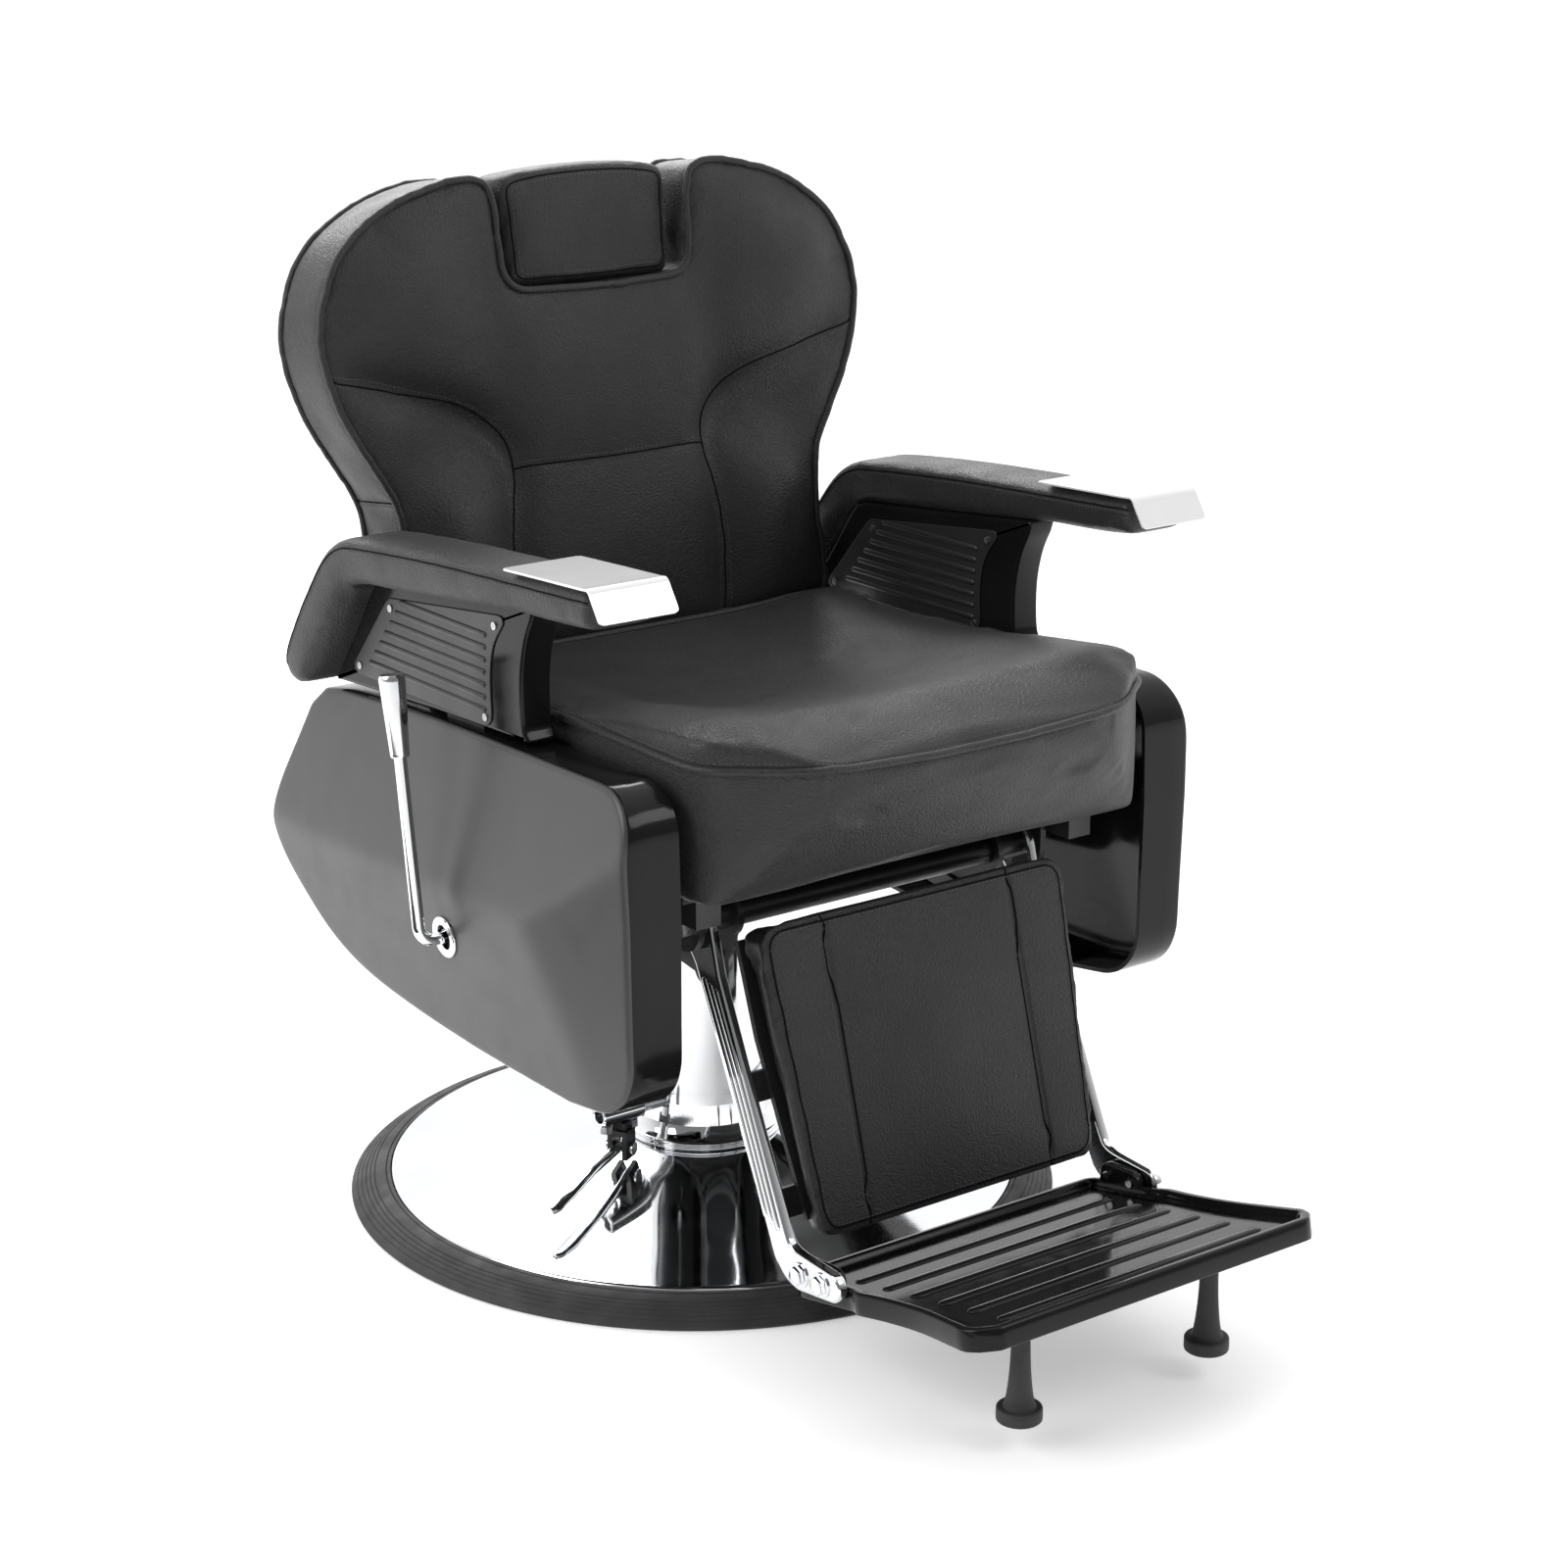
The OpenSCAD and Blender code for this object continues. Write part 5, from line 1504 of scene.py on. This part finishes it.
class CHAIR_OT_feet(bpy.types.Operator):
    """Feet under the footplate: a tapered stem on a round rubber disc"""

    bl_idname = "chair.feet"
    bl_label = "Footplate feet"

    def execute(self, context):
        low, high = corners("footplate_feet")
        height = high[2] - low[2]
        r = (high[1] - low[1]) / 2
        y = (high[1] + low[1]) / 2
        profile = np.vstack([[[0, 0], [r - 1.5, 0]], arc([r - 1.5, 1.5], 1.5, -90, 0, 3),
                             arc([r - 2, 10], 2, 0, 90, 4),
                             [[14, 12.2]], smooth_curve([[12.3, 14.5], [10.2, 28], [8.3, 52],
                                                         [7.3, height]], 6),
                             [[0, height]]])
        parts = [moved(lathe(profile, 48), (s * (high[0] - r), y, low[2])) for s in (-1, 1)]
        fitted(made("tray_feet", joined(*parts), material("rubber", rubber), sharp=40), "footrest", "rubber",
               "footplate_feet")
        return {"FINISHED"}


# ---------- parts that keep their CAD shape ----------

KEPT_FINISHES = {
    "enamel": ["base_plate", "pump_body", "pedal_crank", "swivel_head", "seat_rails", "seat_crossbars",
               "side_spacers", "side_plates", "arm_posts", "footrest_brackets", "lock_barrel", "back_frame",
               "back_cranks", "headrest_guides", "connecting_rods", "footrest_tube"],
    "zinc": ["base_bolts", "pump_shaft", "pedal_bolts", "pedal_pin", "swivel_bolts", "insert_screws",
             "footrest_pivots", "back_pivots", "lock_rod", "headrest_posts"],
    "ram": ["ram"],
    "bronze": ["thrust_washer", "lever_bush"],
    "rubber": ["pump_seal"],
    "backing": ["seat_board", "calf_board"],
}


class CHAIR_OT_mechanism(bpy.types.Operator):
    """Finishes of the frame, pump, pivots and linkage, whose shapes come from the CAD model"""

    bl_idname = "chair.mechanism"
    bl_label = "Frame and mechanism"

    def execute(self, context):
        build = {
            "enamel": black_paint,
            "zinc": zinc,
            "ram": lambda: chrome("ground_ram", 0.08),
            "bronze": bronze,
            "rubber": rubber,
            "backing": lambda: leatherette("backing_cloth", 0.012, 0.6),
        }
        for key, nodes in KEPT_FINISHES.items():
            for name in nodes:
                mesh = frame["nodes"][name].data
                mesh.materials.clear()
                mesh.materials.append(material(key, build[key]))
        return {"FINISHED"}


# ---------- stage ----------

def soft_light(name, place, target, size, power):
    """Square area light that looks at a point; sizes in metres, power in watts."""
    data = bpy.data.lights.new(name, "AREA")
    data.shape = "RECTANGLE"
    data.size, data.size_y = size
    data.energy = power
    obj = bpy.data.objects.new(name, data)
    obj.location = place
    obj.rotation_euler = (Vector(target) - Vector(place)).to_track_quat("-Z", "Y").to_euler()
    bpy.context.scene.collection.objects.link(obj)
    return obj


def black_card(name, corner_points):
    """Flat black card that is only there for reflections: the camera, the light and shadows pass it."""
    card = made(name, (np.array(corner_points, float), [(0, 1, 2, 3)]),
                material("card", lambda: satin_plastic("black_card", 0.004, 0.9)))
    card.visible_camera = False
    card.visible_diffuse = False
    card.visible_shadow = False


def studio_world(scene, behind, before):
    """Sky whose strength goes from before, on the camera's side, to behind, beyond the chair: the share is
    a smooth step of the direction's component away from the camera."""
    world = bpy.data.worlds.new("studio")
    scene.world = world
    world.use_nodes = True
    tree = world.node_tree
    place = tree.nodes.new("ShaderNodeTexCoord")
    away = tree.nodes.new("ShaderNodeVectorMath")
    away.operation = "DOT_PRODUCT"
    away.inputs[1].default_value = (0.48, 0.80, 0.36)
    strength = tree.nodes.new("ShaderNodeMapRange")
    strength.interpolation_type = "SMOOTHSTEP"
    for key, number in (("From Min", -0.55), ("From Max", 0.6), ("To Min", before), ("To Max", behind)):
        strength.inputs[key].default_value = number
    tree.links.new(place.outputs["Generated"], away.inputs[0])
    tree.links.new(away.outputs["Value"], strength.inputs["Value"])
    tree.links.new(strength.outputs["Result"], tree.nodes["Background"].inputs["Strength"])
    tree.nodes["Background"].inputs["Color"].default_value = (1, 1, 1, 1)


def pale_floor():
    """White studio floor, very slightly uneven and lit a little from within as a light table is."""
    f = Finish("pale_floor")
    f.set(Specular_IOR_Level=0.2, Emission_Color=(1, 1, 1, 1), Emission_Strength=0.34)
    f.link(f.blended(f.noise(0.8, 2), grey(0.89), grey(0.91)), "Base Color")
    f.link(f.ranged(f.noise(3, 2), 0.6, 0.7), "Roughness")
    return f.material


class CHAIR_OT_stage(bpy.types.Operator):
    """Pale floor, soft studio light and the camera"""

    bl_idname = "chair.stage"
    bl_label = "Stage"

    def execute(self, context):
        scene = context.scene
        scene.view_settings.view_transform = "Standard"
        studio_world(scene, behind=1.15, before=0.22)
        size = 80000.0
        floor = made("floor", (size * np.array([[-1, -1, 0], [1, -1, 0], [1, 1, 0], [-1, 1, 0.0]]),
                               [(0, 1, 2, 3)]),
                     material("floor", pale_floor))
        soft_light("key", (-3.0, 0.4, 2.4), (0, 0, 0.6), (2.2, 2.2), 60)
        soft_light("rear", (0.9, 2.8, 2.6), (0, 0, 0.6), (2.6, 1.6), 85)
        soft_light("front", (1.6, -2.8, 2.8), (0, -0.2, 0.5), (1.4, 1.4), 26)
        black_card("left_card", [[-2300, -900, 2], [-880, -900, 2], [-880, 620, 2], [-2300, 620, 2]])
        camera = bpy.data.cameras.new("camera")
        camera.lens = 74.93
        camera.sensor_width = 36
        view = bpy.data.objects.new("camera", camera)
        view.location = (-1.6575, -2.3658, 1.2863)
        view.rotation_euler = (math.radians(90 - 17.208), 0, math.radians(-36.563))
        scene.collection.objects.link(view)
        scene.camera = view
        return {"FINISHED"}


OPERATORS = (CHAIR_OT_stage, CHAIR_OT_base, CHAIR_OT_column, CHAIR_OT_pedal, CHAIR_OT_mechanism,
             CHAIR_OT_side_panels, CHAIR_OT_lever, CHAIR_OT_lever_ring, CHAIR_OT_arm_shells,
             CHAIR_OT_arm_pads, CHAIR_OT_arm_caps, CHAIR_OT_seat, CHAIR_OT_back, CHAIR_OT_headrest,
             CHAIR_OT_calf_pad, CHAIR_OT_footrest_bars, CHAIR_OT_footplate, CHAIR_OT_feet)


class CHAIR_PT_panel(bpy.types.Panel):
    """Sidebar panel with the chair's sizes, colours and pieces"""

    bl_idname = "CHAIR_PT_panel"
    bl_label = "Barber Chair"
    bl_space_type = "VIEW_3D"
    bl_region_type = "UI"
    bl_category = "Chair"

    def draw(self, context):
        layout = self.layout
        for group in (context.scene.chair_colours, context.scene.chair_sizes):
            for key in group.bl_rna.properties.keys():
                if key not in ("rna_type", "name"):
                    layout.prop(group, key)
        for operator in OPERATORS:
            layout.operator(operator.bl_idname)


CLASSES = (ChairColours, ChairSizes, *OPERATORS, CHAIR_PT_panel)


def register():
    for cls in CLASSES:
        bpy.utils.register_class(cls)
    bpy.types.Scene.chair_colours = bpy.props.PointerProperty(type=ChairColours)
    bpy.types.Scene.chair_sizes = bpy.props.PointerProperty(type=ChairSizes)


def unregister():
    del bpy.types.Scene.chair_sizes
    del bpy.types.Scene.chair_colours
    for cls in reversed(CLASSES):
        bpy.utils.unregister_class(cls)


def plain(box):
    """A box as plain lists of numbers."""
    return [[float(v) for v in corner] for corner in box]


def main():
    register()
    for operator in OPERATORS:
        group, name = operator.bl_idname.split(".")
        getattr(getattr(bpy.ops, group), name)()


if __name__ == "__main__":
    main()
